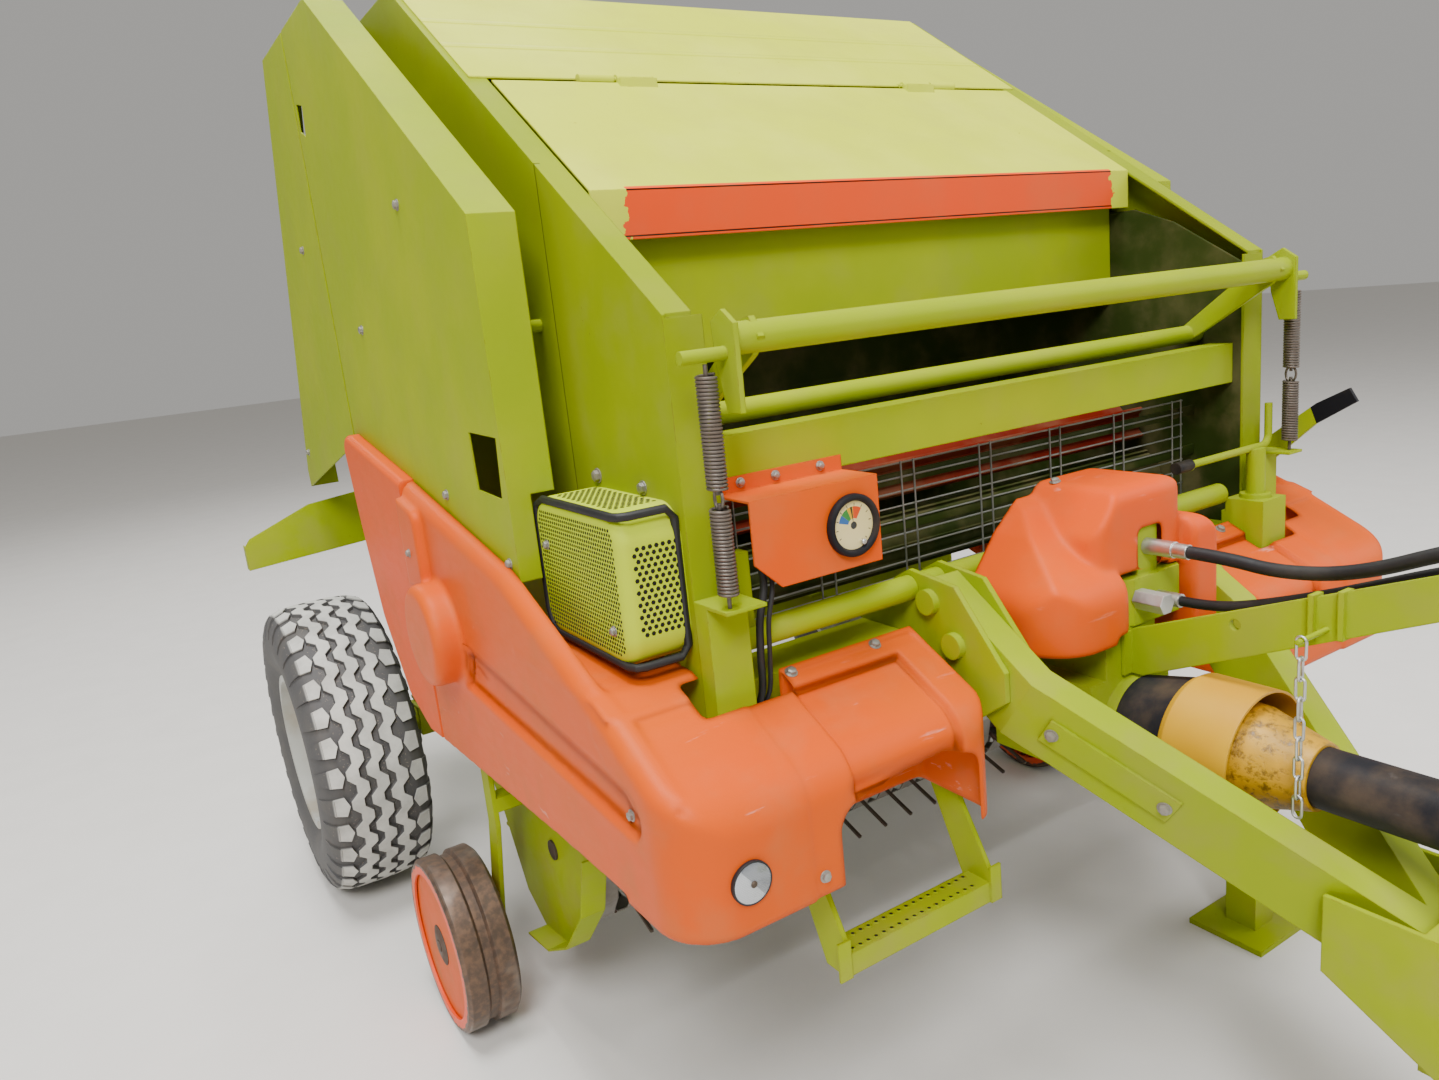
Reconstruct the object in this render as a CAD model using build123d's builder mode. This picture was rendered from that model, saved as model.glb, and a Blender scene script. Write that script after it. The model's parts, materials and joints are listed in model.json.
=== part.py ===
from build123d import *
import math
import os

os.makedirs("parts", exist_ok=True)

# Reaches in front of and behind the front edge of the side walls.
# Every distance along the machine is given behind that edge, negative in front of it.
EYE_REACH = 1260.0
REAR_REACH = 1960.0
FRONT = (EYE_REACH - REAR_REACH) / 2

# Common clearances and sheet thicknesses
GAP = 0.3
RUN = 0.05
SHEET = 3.0
PLATE = 5.0
SHELL = 4.0

# Side walls: pans round the bale chamber, with an outer plate and flanges turned inward
CHAMBER_HALF = 605.0
WALL_DEPTH = 60.0
WALL_OUT = CHAMBER_HALF + WALL_DEPTH
WALL_BOTTOM = 750.0
CORNER_Z = 1398.0
TOP_Z = 2042.0
RIDGE = 919.0
TOP_SLOPE = (TOP_Z - CORNER_Z) / RIDGE
SPLIT = 1236.0
HOOD_EDGE = CHAMBER_HALF + 15

# Bale chamber
CHAMBER_Y = 1240.0
CHAMBER_Z = 1245.0
CHAMBER_R = 620.0

# Tailgate hinge and cylinders
HINGE_Y = 1240.0
HINGE_Z = 2045.0
HINGE_PIN_R = 13.0
GATE_START = 1244.0
CYLINDER_X = WALL_OUT + 70
BASE_Y = 950.0
BASE_Z = 950.0
EYE_Y = 1440.0
EYE_Z = 1700.0
CYLINDER_PIN_R = 12.5
BARREL_R = 28.0

# Road wheels
AXLE_Y = 1580.0
AXLE_Z = 380.0
TYRE_R = 380.0
TYRE_HALF = 132.0
WHEEL_X = WALL_OUT + 229
BEAD_R = 194.0
STUB_R = 22.5
AXLE_TUBE = 80.0
AXLE_HALF = WALL_OUT + 35

# Gauge wheels of the pick-up
GAUGE_Y = 790.0
GAUGE_Z = 180.0
GAUGE_R = 180.0
GAUGE_X = WALL_OUT + 195
GAUGE_HALF = 55.0
GAUGE_STUB_R = 12.0

# Pick-up
PIVOT_Y = 950.0
PIVOT_Z = 520.0
PIVOT_R = 15.0
REEL_Y = 600.0
REEL_Z = 400.0
REEL_TIP_R = 260.0
REEL_TUBE_R = 50.0
REEL_JOURNAL_R = 20.0
REEL_BAR_R = 120.0
REEL_HALF = WALL_OUT + 19
REEL_DISC = REEL_HALF + 4
BAND_R = 158.0
BAND_PITCH = 70.0
BAND_COUNT = 20
BAND_WIDTH = 40.0
PICKUP_PLATE_IN = WALL_OUT + 35
PICKUP_PLATE_OUT = PICKUP_PLATE_IN + 6
BACK_PLATE_Y = 868.0

# Drawbar
BAR_SLOPE = math.radians(34.6)
BAR_TOP_Y = -50.0
BAR_TOP_Z = 964.5
BAR_CENTRE_X = 245.0
BAR_WIDTH = 50.0
BAR_HEIGHT = 110.0
KNEE_Y = -225.0
TAPER = math.radians(24.3)
TIP_Y = -660.0
HEAD_X = 90.0
HEAD_PLATE = 8.0
HEAD_TOP = 590.0
HEAD_BOTTOM = 400.0
EYE_CENTRE_Y = -1205.0
EYE_CENTRE_Z = 470.0
EYE_BORE_R = 25.5
EYE_THICK = 36.0

# Front frame
BEAM_Y = 22.0
BEAM_BOTTOM = 1152.0
BEAM_TOP = 1228.0
CROSS_Y = 20.0
CROSS_BOTTOM = 770.0
CROSS_TOP = 870.0
TUBE_Z = 945.0
TUBE_R = 20.0

# Drive line
PTO_Z = 700.0
PTO_TUBE_R = 42.5
PTO_SHAFT_R = 17.0
GEARBOX_FRONT = -190.0

# Jack
JACK_X = CHAMBER_HALF - 30
JACK_Y = -46.0
JACK_HALF = 38.0
JACK_TOP = 935.0
JACK_BOTTOM = 330.0

# Covers and guards
COVER_OUT = WALL_OUT + 165
COVER_WALL = 5.0
GUARD_X = WALL_OUT + 135
GUARD_FLANGE = 72.0


def back(distance):
    """Y of a point this far behind the front edge of the walls."""
    return FRONT + distance


def slant(distance):
    """Height of the walls' slanted top edge at this distance behind their front."""
    return CORNER_Z + TOP_SLOPE * distance


def block(x, y, z, mode=Mode.ADD):
    """Box between the given limits, y behind the front edge of the walls."""
    with Locations(((x[0] + x[1]) / 2, back((y[0] + y[1]) / 2), (z[0] + z[1]) / 2)):
        Box(abs(x[1] - x[0]), abs(y[1] - y[0]), abs(z[1] - z[0]), mode=mode)


def side_plate(outline, x_from, x_to, mode=Mode.ADD):
    """Plate with a (distance, height) outline, reaching from x_from to x_to."""
    with BuildSketch(Plane.YZ.offset(x_from), mode=Mode.PRIVATE) as profile:
        with BuildLine():
            Polyline(*[(back(y), z) for y, z in outline], close=True)
        make_face()
    extrude(profile.sketch, amount=x_to - x_from, mode=mode)


def side_strip(path, thickness, x_from, x_to, side=Side.LEFT, mode=Mode.ADD):
    """Bent sheet whose side view follows an open path of (distance, height) points."""
    with BuildSketch(Plane.YZ.offset(x_from), mode=Mode.PRIVATE) as profile:
        with BuildLine():
            Polyline(*[(back(y), z) for y, z in path])
            offset(amount=thickness, side=side, kind=Kind.INTERSECTION)
        make_face()
    extrude(profile.sketch, amount=x_to - x_from, mode=mode)


def rounded(points, corners):
    """Face with the given outline, its named corners rounded by their radius."""
    with BuildSketch() as shape:
        with BuildLine():
            Polyline(*points, close=True)
        make_face()
        for x, y, radius in corners:
            fillet(shape.vertices().sort_by_distance((x, y, 0))[0], radius)
    return shape.sketch


def side_form(outline, corners, x_from, x_to, mode=Mode.ADD):
    """Plate with a (distance, height) outline whose corners (distance, height, radius) are round."""
    face = rounded([(back(y), z) for y, z in outline], [(back(y), z, radius) for y, z, radius in corners])
    extrude(Plane.YZ.offset(x_from) * face, amount=x_to - x_from, mode=mode)


def front_form(outline, corners, y_from, y_to, mode=Mode.ADD):
    """Plate with an (x, height) outline whose corners (x, height, radius) are round."""
    extrude(Plane.XZ.offset(-back(y_to)) * rounded(outline, corners), amount=y_to - y_from, mode=mode)


def plan_form(outline, corners, z_from, z_to, mode=Mode.ADD):
    """Upright block with an (x, distance) outline whose corners (x, distance, radius) are round."""
    face = rounded([(x, back(y)) for x, y in outline], [(x, back(y), radius) for x, y, radius in corners])
    extrude(Plane.XY.offset(z_from) * face, amount=z_to - z_from, mode=mode)


def edge_near(solid, x, y, z):
    """Edge of a solid closest to a point, y behind the front edge of the walls."""
    return solid.edges().sort_by_distance((x, back(y), z))[0]


BEND_SHARE = 0.45


def cord(label, route, radius):
    """Cord of round section along a route of (x, distance, height) points with tangent bends."""
    points = [(x, back(y), z) for x, y, z in route]
    runs = [math.dist(a, b) for a, b in zip(points, points[1:])]
    bends = []
    for index in range(1, len(points) - 1):
        before = Vector(*points[index]) - Vector(*points[index - 1])
        after = Vector(*points[index + 1]) - Vector(*points[index])
        half_turn = math.radians(before.get_angle(after)) / 2
        bends.append(BEND_SHARE * min(runs[index - 1], runs[index]) / math.tan(half_turn))
    with BuildPart() as tube:
        with BuildLine() as path:
            FilletPolyline(*points, radius=bends)
        with BuildSketch(Plane(origin=path.wire() @ 0, z_dir=path.wire() % 0)):
            Circle(radius)
        sweep(path=path.wire(), transition=Transition.ROUND)
    tube.part.label = label
    export_step(tube.part, "parts/" + label + ".step")


def front_plate(outline, y_from, y_to, mode=Mode.ADD):
    """Plate with an (x, height) outline, reaching from y_from to y_to."""
    with BuildSketch(Plane.XZ.offset(-back(y_to)), mode=Mode.PRIVATE) as profile:
        with BuildLine():
            Polyline(*outline, close=True)
        make_face()
    extrude(profile.sketch, amount=y_to - y_from, mode=mode)


def rod_x(y, z, radius, x_from, x_to, mode=Mode.ADD):
    """Round rod along X."""
    with Locations(Location(((x_from + x_to) / 2, back(y), z), (0, 90, 0))):
        Cylinder(radius, abs(x_to - x_from), mode=mode)


def rod_y(x, z, radius, y_from, y_to, mode=Mode.ADD):
    """Round rod along the machine."""
    with Locations(Location((x, back((y_from + y_to) / 2), z), (90, 0, 0))):
        Cylinder(radius, abs(y_to - y_from), mode=mode)


def rod_z(x, y, radius, z_from, z_to, mode=Mode.ADD):
    """Upright round rod."""
    with Locations((x, back(y), (z_from + z_to) / 2)):
        Cylinder(radius, abs(z_to - z_from), mode=mode)


def turned_x(outline, x_centre, y, z, side, mode=Mode.ADD):
    """Turned ring about an axis along X; outline gives (outboard offset, radius)."""
    seat = Plane(origin=(x_centre, back(y), z), x_dir=(side, 0, 0), z_dir=(0, 0, side))
    with BuildSketch(seat, mode=Mode.PRIVATE) as profile:
        with BuildLine():
            Polyline(*outline, close=True)
        make_face()
    revolve(profile.sketch, axis=Axis((x_centre, back(y), z), (1, 0, 0)), mode=mode)


def turned_y(outline, x, z, mode=Mode.ADD):
    """Turned shell about an axis along the machine; outline gives (distance, radius)."""
    seat = Plane(origin=(x, FRONT, z), x_dir=(0, 1, 0), z_dir=(0, 0, 1))
    with BuildSketch(seat, mode=Mode.PRIVATE) as profile:
        with BuildLine():
            Polyline(*outline, close=True)
        make_face()
    revolve(profile.sketch, axis=Axis((x, FRONT, z), (0, 1, 0)), mode=mode)


def arc_sheet(radius_in, radius_out, angle_from, angle_to, half):
    """Part of the bale chamber's drum, between two angles from the rear horizontal."""
    points_out = []
    points_in = []
    steps = max(2, round(abs(angle_to - angle_from) / 7.5))
    for index in range(steps + 1):
        angle = math.radians(angle_from + (angle_to - angle_from) * index / steps)
        points_out.append((CHAMBER_Y + radius_out * math.cos(angle), CHAMBER_Z + radius_out * math.sin(angle)))
        points_in.append((CHAMBER_Y + radius_in * math.cos(angle), CHAMBER_Z + radius_in * math.sin(angle)))
    side_plate(points_out + points_in[::-1], -half, half)


# Side walls, with the axle seats, the tailgate's hinge pins and the pick-up's pivot pins
WALL_OUTLINE = [
    (0, WALL_BOTTOM), (0, CORNER_Z), (RIDGE, TOP_Z), (SPLIT, TOP_Z), (SPLIT, 590), (1640, 470),
    (1640, AXLE_Z + AXLE_TUBE / 2), (1480, AXLE_Z + AXLE_TUBE / 2), (1080, 460), (885, 460), (885, 800),
    (280, 800), (280, WALL_BOTTOM),
]
with BuildPart() as side_walls:
    for side in (1, -1):
        side_plate(WALL_OUTLINE, side * (WALL_OUT - PLATE), side * WALL_OUT)
        block((side * CHAMBER_HALF, side * WALL_OUT), (0, PLATE), (WALL_BOTTOM, CORNER_Z - 4))
        flange = [(2, slant(2)), (RIDGE, TOP_Z), (RIDGE, TOP_Z - 6), (2, slant(2) - 6)]
        side_plate(flange, side * HOOD_EDGE, side * WALL_OUT)
        block((side * CHAMBER_HALF, side * WALL_OUT), (RIDGE, SPLIT), (TOP_Z - PLATE, TOP_Z))
        foot = (AXLE_Y - 75, AXLE_Y + 60)
        block((side * 620, side * 690), foot, (AXLE_Z + AXLE_TUBE / 2, AXLE_Z + AXLE_TUBE / 2 + 8))
        lug = [(HINGE_Y - 70, TOP_Z - 60), (HINGE_Y - 4, TOP_Z - 60), (HINGE_Y - 4, TOP_Z), (HINGE_Y - 70, TOP_Z)]
        side_plate(lug, side * WALL_OUT, side * (WALL_OUT + 6))
        rod_x(HINGE_Y, HINGE_Z, 26, side * (WALL_OUT - 4), side * (WALL_OUT + 6))
        rod_x(HINGE_Y, HINGE_Z, HINGE_PIN_R, side * WALL_OUT, side * (WALL_OUT + 42))
        rod_x(PIVOT_Y, PIVOT_Z, 26, side * WALL_OUT, side * (PICKUP_PLATE_IN - GAP))
        rod_x(PIVOT_Y, PIVOT_Z, PIVOT_R, side * WALL_OUT, side * (PICKUP_PLATE_OUT + 8))
        rod_x(BASE_Y, BASE_Z, 28, side * WALL_OUT, side * (CYLINDER_X - BARREL_R - GAP))
        rod_x(BASE_Y, BASE_Z, CYLINDER_PIN_R, side * WALL_OUT, side * (CYLINDER_X + 24))
side_walls.part.label = "side_walls"
export_step(side_walls.part, "parts/side_walls.step")

# Inner walls of the bale chamber with the rollers' bearing holes
ROLLER_HALF = CHAMBER_HALF - 7
ROLLERS = [
    # distance, height, radius, shaft radius
    (225, 955, 55, 15),
    (250, 1066, 45, 15),
]
INNER_OUTLINE = [
    (PLATE, 760), (PLATE, 1380), (150, 1470), (240, 1505), (600, 1505), (600, slant(600) - 12),
    (RIDGE, TOP_Z - PLATE), (SPLIT, TOP_Z - PLATE), (SPLIT, 608), (1050, 632), (892, 705), (892, 800),
    (286, 800), (286, 760),
]
with BuildPart() as chamber_walls:
    for side in (1, -1):
        side_plate(INNER_OUTLINE, side * CHAMBER_HALF, side * (CHAMBER_HALF + PLATE))
        for y, z, radius, shaft in ROLLERS:
            rod_x(y, z, shaft + RUN, side * (CHAMBER_HALF - 2), side * (CHAMBER_HALF + PLATE + 2), Mode.SUBTRACT)
chamber_walls.part.label = "chamber_walls"
export_step(chamber_walls.part, "parts/chamber_walls.step")

# Front half of the chamber's drum with its entrance left open
with BuildPart() as chamber_sheets:
    arc_sheet(CHAMBER_R, CHAMBER_R + SHEET, 90.5, 205, CHAMBER_HALF)
    arc_sheet(CHAMBER_R, CHAMBER_R + SHEET, 240, 269.5, CHAMBER_HALF)
chamber_sheets.part.label = "chamber_sheets"
export_step(chamber_sheets.part, "parts/chamber_sheets.step")

# Ridge cover over the chamber with the hood's hinge knuckles
HOOD_REAR = 580.0
HOOD_HINGE_Y = 586.0
HOOD_HINGE_Z = slant(HOOD_HINGE_Y) + 6
KNUCKLE_R = 8.0
KNUCKLE_PIN_R = 4.0
COVER_START = 592.0
COVER_HALF = WALL_OUT - 13
with BuildPart() as top_cover:
    sheet = [(COVER_START, slant(COVER_START)), (RIDGE, TOP_Z), (SPLIT, TOP_Z), (SPLIT, TOP_Z + SHEET)]
    sheet += [(RIDGE - 1, TOP_Z + SHEET), (COVER_START, slant(COVER_START) + 3.7)]
    side_plate(sheet, -COVER_HALF, COVER_HALF)
    for side in (1, -1):
        block((side * 302, side * 384), (580, 598), (HOOD_HINGE_Z - 20, HOOD_HINGE_Z + 20), Mode.SUBTRACT)
    for side in (1, -1):
        block((side * 385, side * 455), (HOOD_HINGE_Y, 604), (HOOD_HINGE_Z - 8, HOOD_HINGE_Z))
        rod_x(HOOD_HINGE_Y, HOOD_HINGE_Z, KNUCKLE_R, side * 385, side * 455)
        rod_x(HOOD_HINGE_Y, HOOD_HINGE_Z, KNUCKLE_PIN_R, side * 300, side * 385)
top_cover.part.label = "top_cover"
export_step(top_cover.part, "parts/top_cover.step")

# Hood over the twine bay: slanted lid with a turned-down front
HOOD_HALF = CHAMBER_HALF + 12
HOOD_FRONT = 262.0
HOOD_DROP = 1512.0
with BuildPart() as hood:
    lid = [(HOOD_FRONT, slant(HOOD_FRONT) + GAP), (HOOD_REAR, slant(HOOD_REAR) + GAP)]
    lid += [(HOOD_REAR, slant(HOOD_REAR) + 4), (HOOD_FRONT, slant(HOOD_FRONT) + 4)]
    side_plate(lid, -HOOD_HALF, HOOD_HALF)
    block((-HOOD_HALF, HOOD_HALF), (HOOD_FRONT, HOOD_FRONT + SHEET), (HOOD_DROP, slant(HOOD_FRONT) + 3))
    for side in (1, -1):
        block((side * 305, side * 380), (566, HOOD_HINGE_Y), (slant(570) - 3, HOOD_HINGE_Z))
        rod_x(HOOD_HINGE_Y, HOOD_HINGE_Z, KNUCKLE_R, side * 305, side * 380)
        rod_x(HOOD_HINGE_Y, HOOD_HINGE_Z, KNUCKLE_PIN_R + RUN, side * 299, side * 384, Mode.SUBTRACT)
hood.part.label = "hood"
export_step(hood.part, "parts/hood.step")

# Twine bay under the hood
with BuildPart() as twine_bay:
    block((-CHAMBER_HALF, CHAMBER_HALF), (300, 303), (1320, 1560))
    block((-CHAMBER_HALF, CHAMBER_HALF), (300, 560), (1320, 1323))
    block((-CHAMBER_HALF, CHAMBER_HALF), (557, 560), (1320, 1760))
twine_bay.part.label = "twine_bay"
export_step(twine_bay.part, "parts/twine_bay.step")

# Upper front beam and lower cross beam, both box tubes between the chamber walls
with BuildPart() as front_beam:
    block((-CHAMBER_HALF, CHAMBER_HALF), (BEAM_Y, BEAM_Y + 50), (BEAM_BOTTOM, BEAM_TOP))
    block((-CHAMBER_HALF, CHAMBER_HALF), (BEAM_Y + 5, BEAM_Y + 45), (BEAM_BOTTOM + 5, BEAM_TOP - 5), Mode.SUBTRACT)
front_beam.part.label = "front_beam"
export_step(front_beam.part, "parts/front_beam.step")

with BuildPart() as cross_beam:
    block((-CHAMBER_HALF, CHAMBER_HALF), (CROSS_Y, CROSS_Y + 100), (CROSS_BOTTOM, CROSS_TOP))
    block((-CHAMBER_HALF, CHAMBER_HALF), (CROSS_Y + 6, CROSS_Y + 94), (CROSS_BOTTOM + 6, CROSS_TOP - 6),
          Mode.SUBTRACT)
cross_beam.part.label = "cross_beam"
export_step(cross_beam.part, "parts/cross_beam.step")

# Bale density frame: upper tube, lower tube and the arms between them
FRAME_Y = -68.0
FRAME_Z = 1360.0
FRAME_LOW_Y = 100.0
FRAME_LOW_Z = 1250.0
SPRING_X = CHAMBER_HALF + 45
with BuildPart() as tension_frame:
    rod_x(FRAME_Y, FRAME_Z, 21, -612, 612)
    rod_x(FRAME_LOW_Y, FRAME_LOW_Z, 17, -CHAMBER_HALF, CHAMBER_HALF)
    for side in (1, -1):
        arm = [(FRAME_LOW_Y + 22, FRAME_LOW_Z + 4), (FRAME_LOW_Y - 6, FRAME_LOW_Z - 14),
               (FRAME_Y - 4, FRAME_Z - 24)]
        arm += [(FRAME_Y - 24, FRAME_Z), (FRAME_Y - 4, FRAME_Z + 26), (FRAME_Y + 14, FRAME_Z + 22)]
        side_plate(arm, side * 572, side * 582)
        hook = [(FRAME_Y - 26, FRAME_Z - 92), (FRAME_Y + 4, FRAME_Z - 92), (FRAME_Y + 20, FRAME_Z - 40)]
        hook += [(FRAME_Y + 26, FRAME_Z + 24), (FRAME_Y, FRAME_Z + 38), (FRAME_Y - 26, FRAME_Z + 20)]
        side_plate(hook, side * 612, side * 620)
        rod_x(FRAME_Y, FRAME_Z - 16, 9, side * 615, side * 686)
tension_frame.part.label = "tension_frame"
export_step(tension_frame.part, "parts/tension_frame.step")

# Anchors of the density springs on the walls' front flanges
ANCHORS = [
    # inner x, outer x
    (-666, -602),
    (622, 666),
]
with BuildPart() as spring_anchors:
    for x_in, x_out in ANCHORS:
        block((x_in, x_out), (-34, -30), (844, 1011))
        block((x_in, x_in + 4), (-34, 0), (844, 1011))
        block((x_out - 4, x_out), (-34, 0), (844, 1011))
        block((x_in, x_out), (-84, 0), (1011, 1016))
spring_anchors.part.label = "spring_anchors"
export_step(spring_anchors.part, "parts/spring_anchors.step")

# Density springs with their hooks
with BuildPart() as tension_springs:
    for side in (1, -1):
        rod_z(side * SPRING_X, FRAME_Y, 15, 1175, 1325)
        rod_z(side * SPRING_X, FRAME_Y, 15, 1030, 1150)
        rod_z(side * SPRING_X, FRAME_Y, 5, 1016 + GAP, FRAME_Z - 25 - GAP)
tension_springs.part.label = "tension_springs"
export_step(tension_springs.part, "parts/tension_springs.step")

# Wire guard in front of the rollers
WIRE = 4.0
GUARD_Y = 100.0
with BuildPart() as mesh_guard:
    for index in range(10):
        z = 902 + index * 24
        block((-562, 562), (GUARD_Y, GUARD_Y + WIRE), (z, z + WIRE))
    for index in range(7):
        x = -540 + index * 180
        block((x - 16, x - 12), (GUARD_Y, GUARD_Y + WIRE), (902, 1122))
        block((x + 12, x + 16), (GUARD_Y, GUARD_Y + WIRE), (902, 1122))
    for z in (1000, 1080):
        block((-CHAMBER_HALF, CHAMBER_HALF), (GUARD_Y + WIRE, GUARD_Y + WIRE + 6), (z, z + 30))
mesh_guard.part.label = "mesh_guard"
export_step(mesh_guard.part, "parts/mesh_guard.step")

# Round cross tube held in the drawbar's root plates
with BuildPart() as cross_tube:
    rod_x(0, TUBE_Z, TUBE_R, -600, 528)
    rod_x(0, TUBE_Z, TUBE_R - 4, -601, 529, Mode.SUBTRACT)
    block((-598, -578), (-12, 12), (TUBE_Z + TUBE_R - 3, 1070))
cross_tube.part.label = "cross_tube"
export_step(cross_tube.part, "parts/cross_tube.step")

# Bent bracket of the pressure gauge on the front beam
GAUGE_CX = -433.0
GAUGE_CZ = 1084.0
BRACKET_FACE = -60.0
with BuildPart() as gauge_bracket:
    block((-600, -380), (BEAM_Y - 3, BEAM_Y), (1148, 1170))
    block((-600, -380), (BRACKET_FACE, BEAM_Y), (1145, 1148))
    plate = [(-380, 1022), (-380, 1148), (-600, 1148), (-600, 1061), (-558, 1022)]
    front_plate(plate, BRACKET_FACE, BRACKET_FACE + 3)
    rod_y(GAUGE_CX, GAUGE_CZ, 40.3, BRACKET_FACE - 2, BRACKET_FACE + 5, Mode.SUBTRACT)
gauge_bracket.part.label = "gauge_bracket"
export_step(gauge_bracket.part, "parts/gauge_bracket.step")

with BuildPart() as pressure_gauge:
    rod_y(GAUGE_CX, GAUGE_CZ, 45, BRACKET_FACE - 12, BRACKET_FACE - GAP)
    rod_y(GAUGE_CX, GAUGE_CZ, 40, BRACKET_FACE - 4, BRACKET_FACE + 34)
    rod_y(GAUGE_CX, GAUGE_CZ, 41, BRACKET_FACE - 13, BRACKET_FACE - 9, Mode.SUBTRACT)
pressure_gauge.part.label = "pressure_gauge"
export_step(pressure_gauge.part, "parts/pressure_gauge.step")

# Rollers behind the wire guard: a ribbed feed roller and a slatted one
with BuildPart() as feed_roller:
    y, z, radius, shaft = ROLLERS[0]
    rod_x(y, z, radius - 6, -ROLLER_HALF, ROLLER_HALF)
    rod_x(y, z, shaft, -CHAMBER_HALF - 8, CHAMBER_HALF + 8)
    for index in range(10):
        angle = math.radians(index * 36)
        reach = radius - 6
        spot = Location((0, back(y) + reach * math.cos(angle), z + reach * math.sin(angle)),
                        (math.degrees(angle), 0, 0))
        with Locations(spot):
            Box(2 * ROLLER_HALF, 10, 6)
feed_roller.part.label = "feed_roller"
export_step(feed_roller.part, "parts/feed_roller.step")

with BuildPart() as slat_roller:
    y, z, radius, shaft = ROLLERS[1]
    rod_x(y, z, 26, -ROLLER_HALF, ROLLER_HALF)
    rod_x(y, z, shaft, -CHAMBER_HALF - 8, CHAMBER_HALF + 8)
    for index in range(4):
        angle = math.radians(45 + index * 90)
        spot = Location((0, back(y) + 33 * math.cos(angle), z + 33 * math.sin(angle)), (math.degrees(angle), 0, 0))
        with Locations(spot):
            Box(2 * ROLLER_HALF, 20, 8)
slat_roller.part.label = "slat_roller"
export_step(slat_roller.part, "parts/slat_roller.step")

# Axle: square tube with a stub at each end
with BuildPart() as axle_beam:
    half = AXLE_TUBE / 2
    block((-AXLE_HALF, AXLE_HALF), (AXLE_Y - half, AXLE_Y + half), (AXLE_Z - half, AXLE_Z + half))
    block((-AXLE_HALF + 12, AXLE_HALF - 12), (AXLE_Y - half + 6, AXLE_Y + half - 6),
          (AXLE_Z - half + 6, AXLE_Z + half - 6), Mode.SUBTRACT)
    for side in (1, -1):
        rod_x(AXLE_Y, AXLE_Z, 34, side * AXLE_HALF, side * (WHEEL_X - 80))
        rod_x(AXLE_Y, AXLE_Z, STUB_R, side * AXLE_HALF, side * (WHEEL_X + 52))
axle_beam.part.label = "axle_beam"
export_step(axle_beam.part, "parts/axle_beam.step")

# Road tyres and rims
TYRE_PROFILE = [
    (107.7, BEAD_R), (107.7, 208), (122, 232), (TYRE_HALF, 285), (128, 334), (117, 358), (98, TYRE_R - 4),
    (50, TYRE_R),
]
TYRE_INSIDE = [(104, 338), (119, 285), (108, 235), (88, 200), (88, BEAD_R)]
RIM_PROFILE = [
    (114, 188), (114, 206), (108, 206), (108, BEAD_R - GAP), (70, BEAD_R - GAP), (60, 176), (-60, 176),
    (-70, BEAD_R - GAP), (-108, BEAD_R - GAP), (-108, 206), (-114, 206), (-114, 188), (-74, 188), (-64, 171),
    (8, 171), (18, 120), (22, 48), (-78, 48), (-78, STUB_R + RUN), (50, STUB_R + RUN), (50, 48), (30, 48),
    (27, 122), (16, 171), (64, 171), (74, 188),
]
for name, side in (("right", -1), ("left", 1)):
    with BuildPart() as tyre:
        outer = TYRE_PROFILE + [(-x, r) for x, r in TYRE_PROFILE[::-1]]
        inner = [(-x, r) for x, r in TYRE_INSIDE[::-1]] + TYRE_INSIDE
        turned_x(outer + inner, side * WHEEL_X, AXLE_Y, AXLE_Z, side)
    tyre.part.label = "tyre_" + name
    export_step(tyre.part, "parts/tyre_" + name + ".step")
    with BuildPart() as rim:
        turned_x(RIM_PROFILE, side * WHEEL_X, AXLE_Y, AXLE_Z, side)
    rim.part.label = "rim_" + name
    export_step(rim.part, "parts/rim_" + name + ".step")

# Gauge wheels: turned steel rims with a dished disc
GAUGE_PROFILE = [
    (GAUGE_HALF, 150), (GAUGE_HALF, 172), (48, GAUGE_R), (14, GAUGE_R), (8, 172), (-8, 172), (-14, GAUGE_R),
    (-48, GAUGE_R), (-GAUGE_HALF, 172), (-GAUGE_HALF, 150), (-50, 150), (-44, 166), (10, 166), (16, 60),
    (16, 30), (-30, 30), (-30, GAUGE_STUB_R + RUN), (40, GAUGE_STUB_R + RUN), (40, 30), (24, 30), (24, 60),
    (18, 166), (44, 166), (50, 150),
]
for name, side in (("right", -1), ("left", 1)):
    with BuildPart() as gauge_wheel:
        turned_x(GAUGE_PROFILE, side * GAUGE_X, GAUGE_Y, GAUGE_Z, side)
    gauge_wheel.part.label = "gauge_wheel_" + name
    export_step(gauge_wheel.part, "parts/gauge_wheel_" + name + ".step")

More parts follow.
